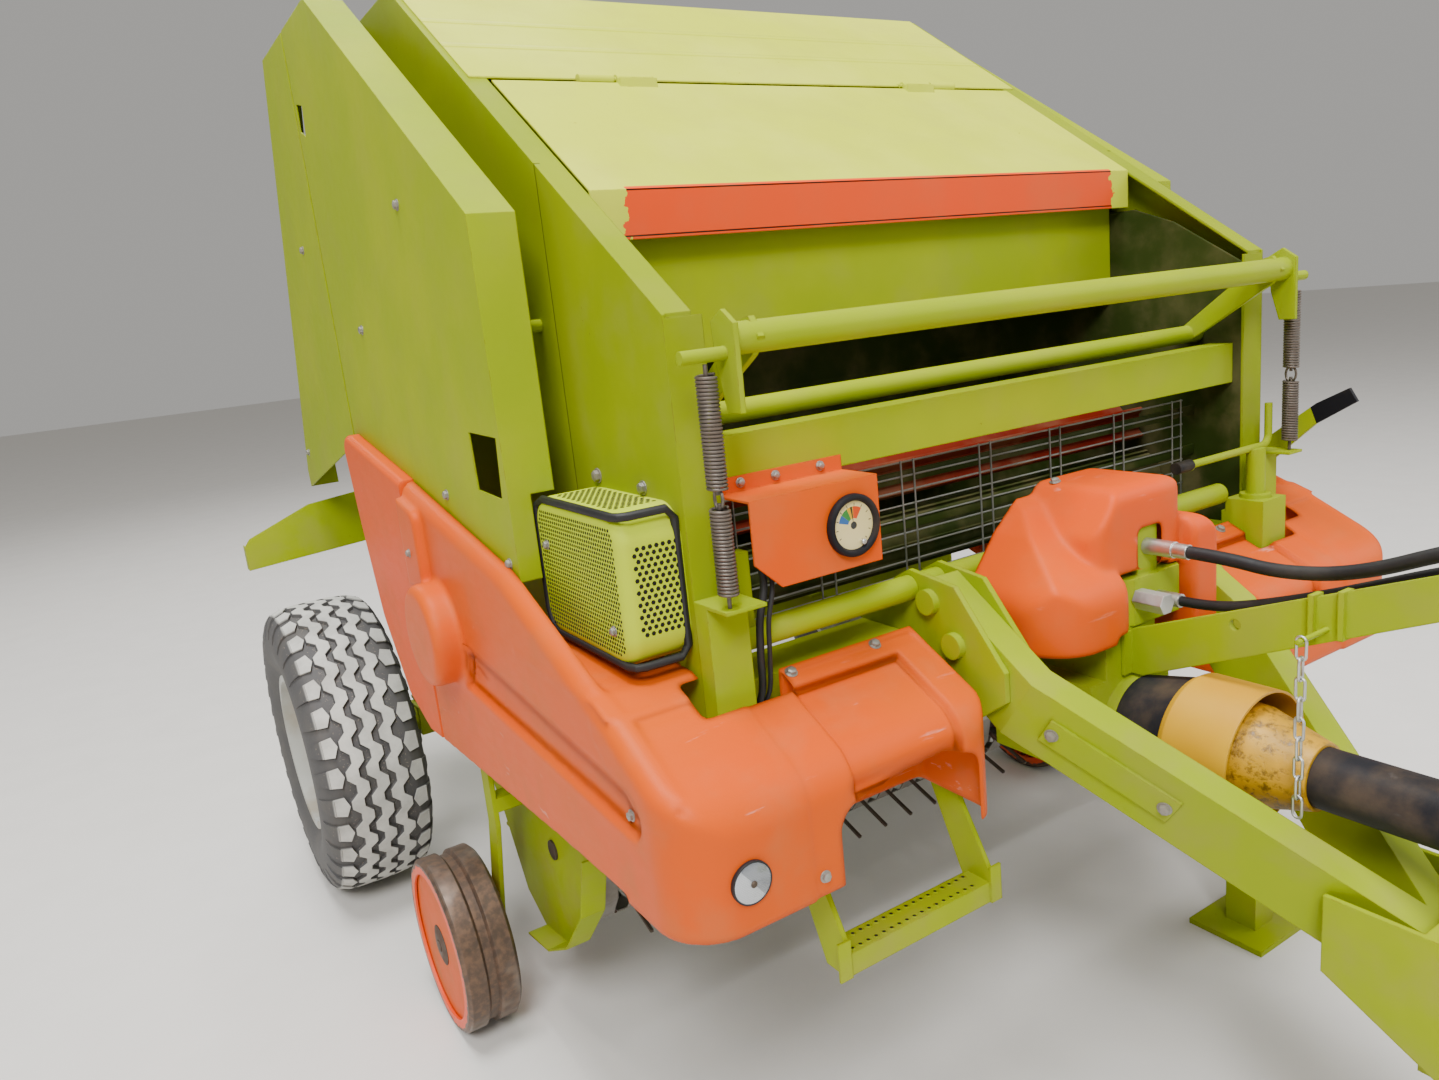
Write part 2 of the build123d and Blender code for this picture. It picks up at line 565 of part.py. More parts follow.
# Pick-up frame: side plates, back plate, tie tube and the gauge wheels' arms
PICKUP_OUTLINE = [
    (343, 603), (345, 500), (390, 370), (490, 255), (600, 192), (712, 174), (800, 220), (900, 400),
    (990, 470), (995, 560), (940, 600), (700, 620),
]
SKID_PATH = PICKUP_OUTLINE[1:6]
SKID_WIDTH = 42.0
ARM_IN = PICKUP_PLATE_OUT + 69
ARM_OUT = ARM_IN + 10
ARM_OUTLINE = [
    (690, 660), (730, 660), (735, 440), (812, 195), (812, 160), (772, 160), (765, 190), (690, 440),
]
with BuildPart() as pickup_frame:
    for side in (1, -1):
        side_plate(PICKUP_OUTLINE, side * PICKUP_PLATE_IN, side * PICKUP_PLATE_OUT)
        bore_from, bore_to = side * (PICKUP_PLATE_IN - 10), side * (PICKUP_PLATE_OUT + 14)
        rod_x(PIVOT_Y, PIVOT_Z, PIVOT_R + RUN, bore_from, bore_to, Mode.SUBTRACT)
        rod_x(REEL_Y, REEL_Z, REEL_JOURNAL_R + RUN, bore_from, bore_to, Mode.SUBTRACT)
        block((side * PICKUP_PLATE_OUT, side * ARM_IN), (690, 730), (470, 500))
        side_plate(ARM_OUTLINE, side * ARM_IN, side * ARM_OUT)
        side_strip(SKID_PATH, 4, side * PICKUP_PLATE_IN, side * (PICKUP_PLATE_OUT + SKID_WIDTH))
        rod_x(GAUGE_Y, GAUGE_Z, 20, side * ARM_OUT, side * (GAUGE_X - 30 - GAP))
        rod_x(GAUGE_Y, GAUGE_Z, GAUGE_STUB_R, side * ARM_OUT, side * (GAUGE_X + 46))
    block((-PICKUP_PLATE_IN, PICKUP_PLATE_IN), (BACK_PLATE_Y, BACK_PLATE_Y + 6), (330, 530))
    block((-PICKUP_PLATE_IN, PICKUP_PLATE_IN), (BACK_PLATE_Y, BACK_PLATE_Y + 34), (330, 336))
pickup_frame.part.label = "pickup_frame"
export_step(pickup_frame.part, "parts/pickup_frame.step")

# Stripper bands round the reel, open to the rear
with BuildPart() as pickup_bands:
    for index in range(BAND_COUNT):
        x = (index - (BAND_COUNT - 1) / 2) * BAND_PITCH
        path = [(BACK_PLATE_Y, REEL_Z + 110), (REEL_Y + 60, REEL_Z + BAND_R - 6), (REEL_Y, REEL_Z + BAND_R)]
        for step in range(1, 8):
            angle = math.radians(90 + step * 22.5)
            path.append((REEL_Y + BAND_R * math.cos(angle), REEL_Z + BAND_R * math.sin(angle)))
        path += [(REEL_Y, REEL_Z - BAND_R), (REEL_Y + 60, REEL_Z - BAND_R + 6), (BACK_PLATE_Y, REEL_Z - 60)]
        side_strip(path, 2.5, x - BAND_WIDTH / 2, x + BAND_WIDTH / 2)
pickup_bands.part.label = "pickup_bands"
export_step(pickup_bands.part, "parts/pickup_bands.step")

# Tined reel: tube, end discs, four tine bars and their tines
with BuildPart() as pickup_reel:
    rod_x(REEL_Y, REEL_Z, REEL_TUBE_R, -REEL_HALF, REEL_HALF)
    rod_x(REEL_Y, REEL_Z, REEL_JOURNAL_R, -PICKUP_PLATE_OUT - 4, PICKUP_PLATE_OUT + 4)
    for side in (1, -1):
        rod_x(REEL_Y, REEL_Z, REEL_BAR_R + 14, side * REEL_DISC, side * (REEL_DISC + 8))
        rod_x(REEL_Y, REEL_Z, REEL_TUBE_R, side * REEL_HALF, side * REEL_DISC)
    for bar in range(4):
        angle = math.radians(20 + bar * 90)
        dy, dz = math.cos(angle), math.sin(angle)
        rod_x(REEL_Y + REEL_BAR_R * dy, REEL_Z + REEL_BAR_R * dz, 11, -REEL_DISC - 2, REEL_DISC + 2)
        for index in range(BAND_COUNT - 1):
            x = (index - (BAND_COUNT - 2) / 2) * BAND_PITCH
            length = REEL_TIP_R - REEL_BAR_R
            middle = REEL_BAR_R + length / 2
            spot = Location((x, back(REEL_Y + middle * dy), REEL_Z + middle * dz), (math.degrees(angle), 0, 0))
            with Locations(spot):
                Box(6, length, 6)
pickup_reel.part.label = "pickup_reel"
export_step(pickup_reel.part, "parts/pickup_reel.step")

# Drawbar: two bars in a sloping plane, parallel at the root and meeting at the tip
SLOPE_COS = math.cos(BAR_SLOPE)
SLOPE_SIN = math.sin(BAR_SLOPE)
BAR_PLANE = Plane(origin=(0, back(BAR_TOP_Y), BAR_TOP_Z), x_dir=(1, 0, 0), z_dir=(0, -SLOPE_SIN, SLOPE_COS))
ROOT = 5.0
KNEE = (KNEE_Y - BAR_TOP_Y) / SLOPE_COS
TIP = (TIP_Y - BAR_TOP_Y) / SLOPE_COS
MITRE = BAR_WIDTH / 2 * math.tan(TAPER / 2)
ACROSS = BAR_WIDTH / 2 / math.cos(TAPER)
TIP_X = BAR_CENTRE_X - (KNEE - TIP) * math.tan(TAPER)
STRIP_NEAR = KNEE - 50
STRIP_FAR = KNEE - 230
PIVOT_BOLT = (-45, 931)
LOCK_BOLT = (-95, 872)
with BuildPart() as drawbar_bars:
    for side in (1, -1):
        with BuildSketch(BAR_PLANE, mode=Mode.PRIVATE) as bar_plan:
            with BuildLine():
                outer_x = BAR_CENTRE_X + BAR_WIDTH / 2
                inner_x = BAR_CENTRE_X - BAR_WIDTH / 2
                points = [(outer_x, ROOT), (outer_x, KNEE - MITRE), (TIP_X + ACROSS, TIP), (TIP_X - ACROSS, TIP)]
                points += [(inner_x, KNEE + MITRE), (inner_x, ROOT)]
                Polyline(*[(side * x, y) for x, y in points], close=True)
            make_face()
        extrude(bar_plan.sketch, amount=-BAR_HEIGHT)
        for y, z in (PIVOT_BOLT, LOCK_BOLT):
            rod_x(y, z, 12 + RUN, side * 215, side * 275, Mode.SUBTRACT)
    with BuildSketch(BAR_PLANE.offset(-BAR_HEIGHT / 2), mode=Mode.PRIVATE) as strip_plan:
        run_in = (STRIP_NEAR - KNEE) * math.tan(TAPER)
        run_out = (STRIP_FAR - KNEE) * math.tan(TAPER)
        edge = BAR_CENTRE_X + ACROSS
        near, far = edge + run_in, edge + run_out
        points = [(near - 2, STRIP_NEAR), (near + 5, STRIP_NEAR), (far + 5, STRIP_FAR), (far - 2, STRIP_FAR)]
        with BuildLine():
            Polyline(*[(-x, y) for x, y in points], close=True)
        make_face()
    extrude(strip_plan.sketch, amount=22)
    extrude(strip_plan.sketch, amount=-22)
drawbar_bars.part.label = "drawbar_bars"
export_step(drawbar_bars.part, "parts/drawbar_bars.step")

# Root plates that hold the bars, with their bolts
ROOT_OUTLINE = [
    (-96, 962), (0, 974), (30, 958), (126, 880), (126, CROSS_TOP), (CROSS_Y, CROSS_TOP), (CROSS_Y, CROSS_BOTTOM),
    (-60, CROSS_BOTTOM), (-140, 768), (-190, 805), (-190, 850),
]
with BuildPart() as drawbar_brackets:
    for side in (1, -1):
        for x_in, x_out in ((BAR_CENTRE_X - 35, BAR_CENTRE_X - 25.3), (BAR_CENTRE_X + 25.3, BAR_CENTRE_X + 35)):
            side_plate(ROOT_OUTLINE, side * x_in, side * x_out)
            rod_x(0, TUBE_Z, TUBE_R + GAP, side * (x_in - 1), side * (x_out + 1), Mode.SUBTRACT)
        for y, z in (PIVOT_BOLT, LOCK_BOLT):
            rod_x(y, z, 12, side * 206, side * 284)
            rod_x(y, z, 20, side * 280, side * 292)
            rod_x(y, z, 20, side * 200, side * 210)
drawbar_brackets.part.label = "drawbar_brackets"
export_step(drawbar_brackets.part, "parts/drawbar_brackets.step")

# Drawbar head: side plates, webs and the tow eye
HEAD_OUTLINE = [
    (-545, HEAD_TOP), (-1060, HEAD_TOP), (-1115, 550), (-1115, HEAD_BOTTOM), (-690, HEAD_BOTTOM), (-545, 480),
]
with BuildPart() as drawbar_head:
    for side in (1, -1):
        side_plate(HEAD_OUTLINE, side * (HEAD_X + 2.2), side * (HEAD_X + 2.2 + HEAD_PLATE))
    web = HEAD_X + 2.2
    block((-web, web), (-1060, TIP_Y - 8), (HEAD_TOP - 8, HEAD_TOP))
    block((-web, web), (-1115, TIP_Y - 8), (HEAD_BOTTOM, HEAD_BOTTOM + 8))
    block((-web, web), (TIP_Y - 8, TIP_Y - GAP), (HEAD_BOTTOM, HEAD_TOP))
    block((-web, web), (-1115, -1100), (HEAD_BOTTOM, 550))
    block((-30, 30), (-1170, -1110), (EYE_CENTRE_Z - EYE_THICK / 2, EYE_CENTRE_Z + EYE_THICK / 2))
    rod_z(0, EYE_CENTRE_Y, EYE_REACH + EYE_CENTRE_Y, EYE_CENTRE_Z - EYE_THICK / 2, EYE_CENTRE_Z + EYE_THICK / 2)
    rod_z(0, EYE_CENTRE_Y, EYE_BORE_R, EYE_CENTRE_Z - EYE_THICK, EYE_CENTRE_Z + EYE_THICK, Mode.SUBTRACT)
drawbar_head.part.label = "drawbar_head"
export_step(drawbar_head.part, "parts/drawbar_head.step")

# Gearbox on the cross beam
with BuildPart() as gearbox:
    block((-95, 95), (GEARBOX_FRONT, 10), (620, 775))
    block((-60, 60), (GEARBOX_FRONT, CROSS_Y), (775, 850))
    block((-130, 130), (10, CROSS_Y), (700, 860))
    rod_y(0, PTO_Z, 70, GEARBOX_FRONT - 20, GEARBOX_FRONT)
    rod_y(0, PTO_Z, PTO_SHAFT_R + RUN, GEARBOX_FRONT - 21, GEARBOX_FRONT + 60, Mode.SUBTRACT)
gearbox.part.label = "gearbox"
export_step(gearbox.part, "parts/gearbox.step")

# Hydraulic pump on the gearbox with its riser block
PUMP_FRONT = -195.0
RISER_FRONT = -182.0
PUMP_TOP = 925.0
with BuildPart() as hydraulic_pump:
    block((-8, 128), (PUMP_FRONT, -60), (850, PUMP_TOP))
    block((28, 78), (RISER_FRONT, -120), (PUMP_TOP, 1000))
    for corner_x in (-8, 128):
        chamfer(edge_near(hydraulic_pump.part, corner_x, PUMP_FRONT, 880), 12)
hydraulic_pump.part.label = "hydraulic_pump"
export_step(hydraulic_pump.part, "parts/hydraulic_pump.step")

# Moulded cover of the gearbox in three rounded blocks: low bulge, tower and side block
DOME_WALL = 4.0
DOME_REAR = -25.0
TOWER_LOW = 932.0


def dome_form(wall):
    """Outside form of the moulded gearbox cover, or its hollow when a wall is given."""
    rear = DOME_REAR + (5 if wall else 0)
    drop = 10 if wall else 0
    left, right, front = -190 + wall, -30 - wall, -218 + wall
    with BuildPart() as bulge:
        outline = [(front, 838 - drop), (front, 930 - wall), (-60, 1040 - wall), (rear, 1052 - wall),
                   (rear, 838 - drop)]
        side_form(outline, [(front, 930 - wall, 55 - wall)], left, right)
        outline = [(left, front), (right, front), (right, rear), (left, rear)]
        plan_form(outline, [(left, front, 75 - wall), (right, front, 14 - wall)], 800, 1100, Mode.INTERSECT)
        outline = [(left, 800), (left, 925), (-125, 1005 - wall), (-70, 1052 - wall), (right, 1052 - wall),
                   (right, 800)]
        front_form(outline, [(left, 925, 60 - wall), (-125, 1005 - wall, 40 - wall)], -230, 0, Mode.INTERSECT)
    left, right, front, top = -75 + wall, 134 - wall, -190 + wall, 1070 - wall
    low = TOWER_LOW - drop
    with BuildPart() as tower:
        outline = [(front, low), (front, top), (rear, top), (rear, low)]
        side_form(outline, [(front, top, 24 - wall)], left, right)
        outline = [(left, front), (right, front), (right, rear), (left, rear)]
        plan_form(outline, [(left, front, 30 - wall), (right, front, 18 - wall)], 800, 1100, Mode.INTERSECT)
        outline = [(left, low), (left, 1000 - wall), (-20, top), (right, top), (right, low)]
        front_form(outline, [(left, 1000 - wall, 30), (-20, top, 30), (right, top, 24 - wall)], -230, 0,
                   Mode.INTERSECT)
    left, right, front, top = 133 + wall, 197 - wall, -212 + wall, 1002 - wall
    with BuildPart() as side_block:
        outline = [(front, 800 - drop), (front, top), (rear, top), (rear, 800 - drop)]
        side_form(outline, [(front, top, 30 - wall)], left, right)
        outline = [(left, 800 - drop), (left, top), (right, top), (right, 800 - drop)]
        front_form(outline, [(right, top, 45 - wall)], -230, 0, Mode.INTERSECT)
    return bulge.part + tower.part + side_block.part


with BuildPart() as drive_covers:
    add(dome_form(0))
    add(dome_form(DOME_WALL), mode=Mode.SUBTRACT)
    block((26, 78), (-200, -160), (936, 996), Mode.SUBTRACT)
    block((-61, 61), (-230, DOME_REAR), (830, 850 + GAP), Mode.SUBTRACT)
    block((-189, -60), (-130, -80), (841, 847))
    block((100, 134), (-190, -40), (TOWER_LOW - 6, TOWER_LOW))
drive_covers.part.label = "drive_covers"
export_step(drive_covers.part, "parts/drive_covers.step")

# Rear guard of the drive shaft: flexible cone on the gearbox, bell and joint cone
with BuildPart() as pto_shield:
    turned_y([(-210, 72), (-299.7, 90), (-299.7, 86), (-214, 68), (-210, 68)], 0, PTO_Z)
pto_shield.part.label = "pto_shield"
export_step(pto_shield.part, "parts/pto_shield.step")

BELL_R = 100.0
with BuildPart() as pto_rear_guard:
    turned_y([(-300, 94), (-310, BELL_R), (-410, BELL_R), (-410, BELL_R - 4), (-312, BELL_R - 4), (-304, 86),
              (-300, 86)], 0, PTO_Z)
    turned_y([(-300, 86), (-300, 90), (-330, 78), (-400, 74), (-490, 48), (-490, PTO_TUBE_R + GAP),
              (-480, PTO_TUBE_R + GAP), (-398, 70), (-328, 74)], 0, PTO_Z)
pto_rear_guard.part.label = "pto_rear_guard"
export_step(pto_rear_guard.part, "parts/pto_rear_guard.step")

with BuildPart() as pto_tube:
    turned_y([(-482, PTO_TUBE_R), (-1020, PTO_TUBE_R), (-1020, PTO_TUBE_R - 4), (-482, PTO_TUBE_R - 4)], 0, PTO_Z)
    turned_y([(-985, PTO_TUBE_R - 1), (-985, 48), (-1010, 60), (-1030, 80), (-1085, 84), (-1085, 80), (-1032, 76),
              (-1014, 57), (-1000, PTO_TUBE_R - 1)], 0, PTO_Z)
pto_tube.part.label = "pto_tube"
export_step(pto_tube.part, "parts/pto_tube.step")

# Drive shaft inside its guard with the splined tractor-end yoke
YOKE_BORE_R = 17.5
with BuildPart() as pto_shaft:
    rod_y(0, PTO_Z, PTO_SHAFT_R, GEARBOX_FRONT + 50, -1060)
    rod_y(0, PTO_Z, 32, -1110, -1060)
    rod_y(0, PTO_Z, 28, -1165, -1110)
    rod_y(0, PTO_Z, YOKE_BORE_R, -1166, -1085, Mode.SUBTRACT)
pto_shaft.part.label = "pto_shaft"
export_step(pto_shaft.part, "parts/pto_shaft.step")

# Sloping hose support above the drive shaft, with the parking plate for the plugs at its end
HOLDER_FRONT = -1010.0
PLUG_R = 11.0
UPPER_PARK = (26, 1122)
LOWER_PARK = (50, 1085)
CHAIN_X = -64.0
CHAIN_Y = -490.0
CHAIN_PIN_Z = 912.0
CHAIN_PIN_R = 3.5
SUPPORT_PATH = [
    (-190, 776), (-190, 846), (-640, 1015), (HOLDER_FRONT, 1100), (HOLDER_FRONT, 1045), (-640, 958), (-215, 776),
]
with BuildPart() as hose_support:
    side_plate(SUPPORT_PATH, -5, 5)
    block((-24, 24), (-196, GEARBOX_FRONT), (776, 846))
    rod_x(-364, 891, 8, -6, 6, Mode.SUBTRACT)
    for strap in (-514, -476):
        block((-12, 12), (strap, strap + 8), (902 + (strap + 514) * -0.2, 968 + (strap + 514) * -0.3))
    rod_x(CHAIN_Y, CHAIN_PIN_Z, CHAIN_PIN_R, CHAIN_X - 10, -5)
    block((5, 76), (HOLDER_FRONT, HOLDER_FRONT + 6), (1046, 1146))
    for x, z in (UPPER_PARK, LOWER_PARK):
        rod_y(x, z, PLUG_R + GAP, HOLDER_FRONT - 1, HOLDER_FRONT + 7, Mode.SUBTRACT)
hose_support.part.label = "hose_support"
export_step(hose_support.part, "parts/hose_support.step")

# Steel fittings at both ends of the two pressure hoses, and the hexagonal plug of the pump
UPPER_PORT = (52, 968)
LOWER_PORT = (62, 885)
PLUG_PORT = (14, 893)
FITTING_R = 13.0
HOSE_END = -990.0
with BuildPart() as hose_fittings:
    rod_y(UPPER_PORT[0], UPPER_PORT[1], FITTING_R, RISER_FRONT, -232)
    rod_y(UPPER_PORT[0], UPPER_PORT[1], FITTING_R - 1.5, -232, -256)
    rod_y(LOWER_PORT[0], LOWER_PORT[1], FITTING_R - 2, PUMP_FRONT, -236)
    with BuildSketch(Plane.XZ.offset(-back(PUMP_FRONT)), mode=Mode.PRIVATE) as hexagon:
        with Locations(PLUG_PORT):
            RegularPolygon(17, 6)
    extrude(hexagon.sketch, amount=50)
    for x, z in (UPPER_PARK, LOWER_PARK):
        rod_y(x, z, PLUG_R, HOSE_END, HOLDER_FRONT - 46)
        rod_y(x, z, PLUG_R + 4, HOLDER_FRONT - 30, HOLDER_FRONT - GAP)
hose_fittings.part.label = "hose_fittings"
export_step(hose_fittings.part, "parts/hose_fittings.step")

UPPER_HOSE_R = 10.0
LOWER_HOSE_R = 8.0
UPPER_HOSE = [
    (UPPER_PORT[0], -256 - GAP, UPPER_PORT[1]), (UPPER_PORT[0], -316, UPPER_PORT[1]), (51, -396, 960),
    (48, -500, 976), (43, -620, 1030), (34, -755, 1076), (UPPER_PARK[0], -885, UPPER_PARK[1]),
    (UPPER_PARK[0], HOSE_END + GAP, UPPER_PARK[1]),
]
LOWER_HOSE = [
    (LOWER_PORT[0], -236 - GAP, LOWER_PORT[1]), (LOWER_PORT[0], -291, LOWER_PORT[1]), (66, -370, 905),
    (67, -480, 944), (63, -610, 999), (57, -745, 1036), (LOWER_PARK[0], -880, LOWER_PARK[1]),
    (LOWER_PARK[0], HOSE_END + GAP, LOWER_PARK[1]),
]
cord("hose_upper", UPPER_HOSE, UPPER_HOSE_R)
cord("hose_lower", LOWER_HOSE, LOWER_HOSE_R)

# Chain that hangs from the pin of the hose support
LINK_LENGTH = 36.0
LINK_WIDTH = 17.0
LINK_BAR = 4.0
LINK_CORNER = 2.2
LINK_COUNT = 9
LINK_PITCH = LINK_LENGTH - 2 * LINK_BAR - GAP
with BuildPart() as support_chain:
    for index in range(LINK_COUNT):
        middle = CHAIN_PIN_Z + CHAIN_PIN_R + GAP + LINK_BAR - LINK_LENGTH / 2 - index * LINK_PITCH
        across = (0, 1, 0) if index % 2 == 0 else (1, 0, 0)
        normal = (1, 0, 0) if index % 2 == 0 else (0, -1, 0)
        seat = Plane(origin=(CHAIN_X, back(CHAIN_Y), middle), x_dir=across, z_dir=normal)
        with BuildSketch(seat, mode=Mode.PRIVATE) as link:
            RectangleRounded(LINK_WIDTH, LINK_LENGTH, LINK_CORNER + LINK_BAR)
            RectangleRounded(LINK_WIDTH - 2 * LINK_BAR, LINK_LENGTH - 2 * LINK_BAR, LINK_CORNER, mode=Mode.SUBTRACT)
        extrude(link.sketch, amount=LINK_BAR / 2, both=True)
support_chain.part.label = "support_chain"
export_step(support_chain.part, "parts/support_chain.step")

# Jack: housing with crank, and the sliding leg
CRANK_R = 7.0
CRANK_Y = JACK_Y + 6
CRANK_Z = 1030.0
CRANK_REACH = 235.0
CRANK_PATH = [
    (JACK_X - CRANK_REACH, CRANK_Y, CRANK_Z), (JACK_X + 50, CRANK_Y, CRANK_Z), (JACK_X + 50, CRANK_Y, CRANK_Z + 80),
]
with BuildPart() as jack_housing:
    x_low, x_high = JACK_X - JACK_HALF, JACK_X + JACK_HALF
    y_low, y_high = JACK_Y - JACK_HALF, JACK_Y + JACK_HALF
    block((x_low, x_high), (y_low, y_high), (JACK_BOTTOM, JACK_TOP))
    block((x_low + 5, x_high - 5), (y_low + 5, y_high - 5), (JACK_BOTTOM - 1, JACK_TOP - 6), Mode.SUBTRACT)
    block((x_low, x_high + 6), (y_high, 0), (790, 910))
    rod_z(JACK_X, JACK_Y, 17, JACK_TOP, CRANK_Z)
    rod_z(JACK_X, JACK_Y, 28, JACK_TOP, JACK_TOP + 8)
    with BuildLine() as crank:
        FilletPolyline(*[(x, back(y), z) for x, y, z in CRANK_PATH], radius=20)
    with BuildSketch(Plane(origin=crank.wire() @ 0, z_dir=crank.wire() % 0)):
        Circle(CRANK_R)
    sweep(path=crank.wire())
    rod_x(CRANK_Y, CRANK_Z, CRANK_R + 4, JACK_X - CRANK_REACH - 6, JACK_X - CRANK_REACH + 36)
jack_housing.part.label = "jack_housing"
export_step(jack_housing.part, "parts/jack_housing.step")

with BuildPart() as jack_leg:
    inner_half = JACK_HALF - 5 - GAP
    block((JACK_X - inner_half, JACK_X + inner_half), (JACK_Y - inner_half, JACK_Y + inner_half), (12, 600))
    block((JACK_X - inner_half + 5, JACK_X + inner_half - 5), (JACK_Y - inner_half + 5, JACK_Y + inner_half - 5),
          (20, 601), Mode.SUBTRACT)
    block((JACK_X - 90, JACK_X + 90), (JACK_Y - 80, JACK_Y + 80), (0, 12))
jack_leg.part.label = "jack_leg"
export_step(jack_leg.part, "parts/jack_leg.step")

# Lever with a rubber cap beside the left wall
with BuildPart() as side_lever:
    side_plate([(-4, 982), (28, 982), (28, 1012), (-90, 1100), (-150, 1130), (-165, 1105), (-90, 1060)], 700, 708)
    rod_x(14, 998, 12, WALL_OUT, 712)
side_lever.part.label = "side_lever"
export_step(side_lever.part, "parts/side_lever.step")

# Step below the right cover: channel tread between two slanted hangers on the cross beam
STEP_TOP = 506.0
STEP_FRONT = -152.0
STEP_DEPTH = 46.0
STEP_ENDS = (-565.0, -292.0)
HANGER = 8.0
with BuildPart() as right_step:
    step_low, step_high = STEP_ENDS
    block((step_low, step_high), (STEP_FRONT, STEP_FRONT + STEP_DEPTH), (STEP_TOP - 4, STEP_TOP))
    block((step_low, step_high), (STEP_FRONT, STEP_FRONT + 4), (STEP_TOP - 34, STEP_TOP))
    block((step_low, step_high), (STEP_FRONT + STEP_DEPTH - 4, STEP_FRONT + STEP_DEPTH), (STEP_TOP - 34, STEP_TOP))
    for x in (step_low - HANGER, step_high):
        outline = [
            (STEP_FRONT, STEP_TOP - 34), (STEP_FRONT, STEP_TOP + 20), (-60, 690), (-16, 800), (CROSS_Y, 800),
            (CROSS_Y, 772), (-8, 690), (STEP_FRONT + STEP_DEPTH, STEP_TOP - 34),
        ]
        side_plate(outline, x, x + HANGER)
        tab = (x - 14, x + HANGER) if x < step_low else (x, x + HANGER + 14)
        block(tab, (STEP_FRONT - 4, STEP_FRONT), (STEP_TOP - 34, STEP_TOP + 26))
right_step.part.label = "right_step"
export_step(right_step.part, "parts/right_step.step")


# Moulded side covers: a rounded front arm and a long side arm, drawn hollow
COVER_FRONT = -190.0
COVER_REAR = 797.0
COVER_BOTTOM = 635.0
CREST_Z = 807.0
ARM_REAR = -20.0
ARM_TOP = 898.0
CORNER_R = 80.0
CREST_R = 70.0
INNER_R = 40.0
TOP_EDGE_R = 25.0
SHELF = [(ARM_REAR - 2, ARM_TOP - 1), (20, 914), (284, 924)]
BOSS_Y = 643.0
BOSS_Z = 875.0
BOSS_R = 95.0
BOSS_OUT = 50.0
PANEL_DEPTH = 3.0


def cover_form(side, inner_end, wall):
    """Outside form of a side cover, or its hollow when a wall is given."""
    front = COVER_FRONT + wall
    crest = CREST_Z - wall * 0.7
    low = COVER_BOTTOM - (35 if wall else 0)
    out = COVER_OUT - wall
    inner = inner_end + wall
    with BuildPart() as form:
        outline = [(front, low), (front, crest), (ARM_REAR - wall, ARM_TOP - wall), (ARM_REAR - wall, low)]
        side_form(outline, [(front, crest, CREST_R - wall)], side * inner, side * out)
        outline = [
            (front, COVER_BOTTOM + 20 + wall), (-48, 648 + wall), (219, 640 + wall), (COVER_REAR - wall, 610 + wall),
            (COVER_REAR - wall, 1137 - wall), (308, 1040 - wall), (ARM_REAR, ARM_TOP - wall), (front, crest),
        ]
        corners = [(front, crest, CREST_R - wall), (308, 1040 - wall, 200)]
        side_form(outline, corners, side * (GUARD_X + GAP - wall), side * out)
        outline = [(side * inner, front), (side * out, front), (side * out, 900), (side * inner, 900)]
        corners = [(side * inner, front, INNER_R - wall), (side * out, front, CORNER_R - wall)]
        plan_form(outline, corners, 500, 1300, Mode.INTERSECT)
        fillet(edge_near(form.part, side * out, 100, 950), TOP_EDGE_R - wall)
    return form.part


CORNER_DEPTH = 34.0


def thick_corner(side, inner_end):
    """The part of a cover's form along its shoulder, where the wall is thickened from inside."""
    with BuildPart() as corner:
        x_from, x_to = side * (COVER_OUT - CORNER_DEPTH), side * (COVER_OUT + 1)
        side_form([(-150, 790), (-60, 790), (20, 870), (20, 960), (-150, 960)], [], x_from, x_to)
        add(cover_form(side, inner_end, 0), mode=Mode.INTERSECT)
    return corner.part


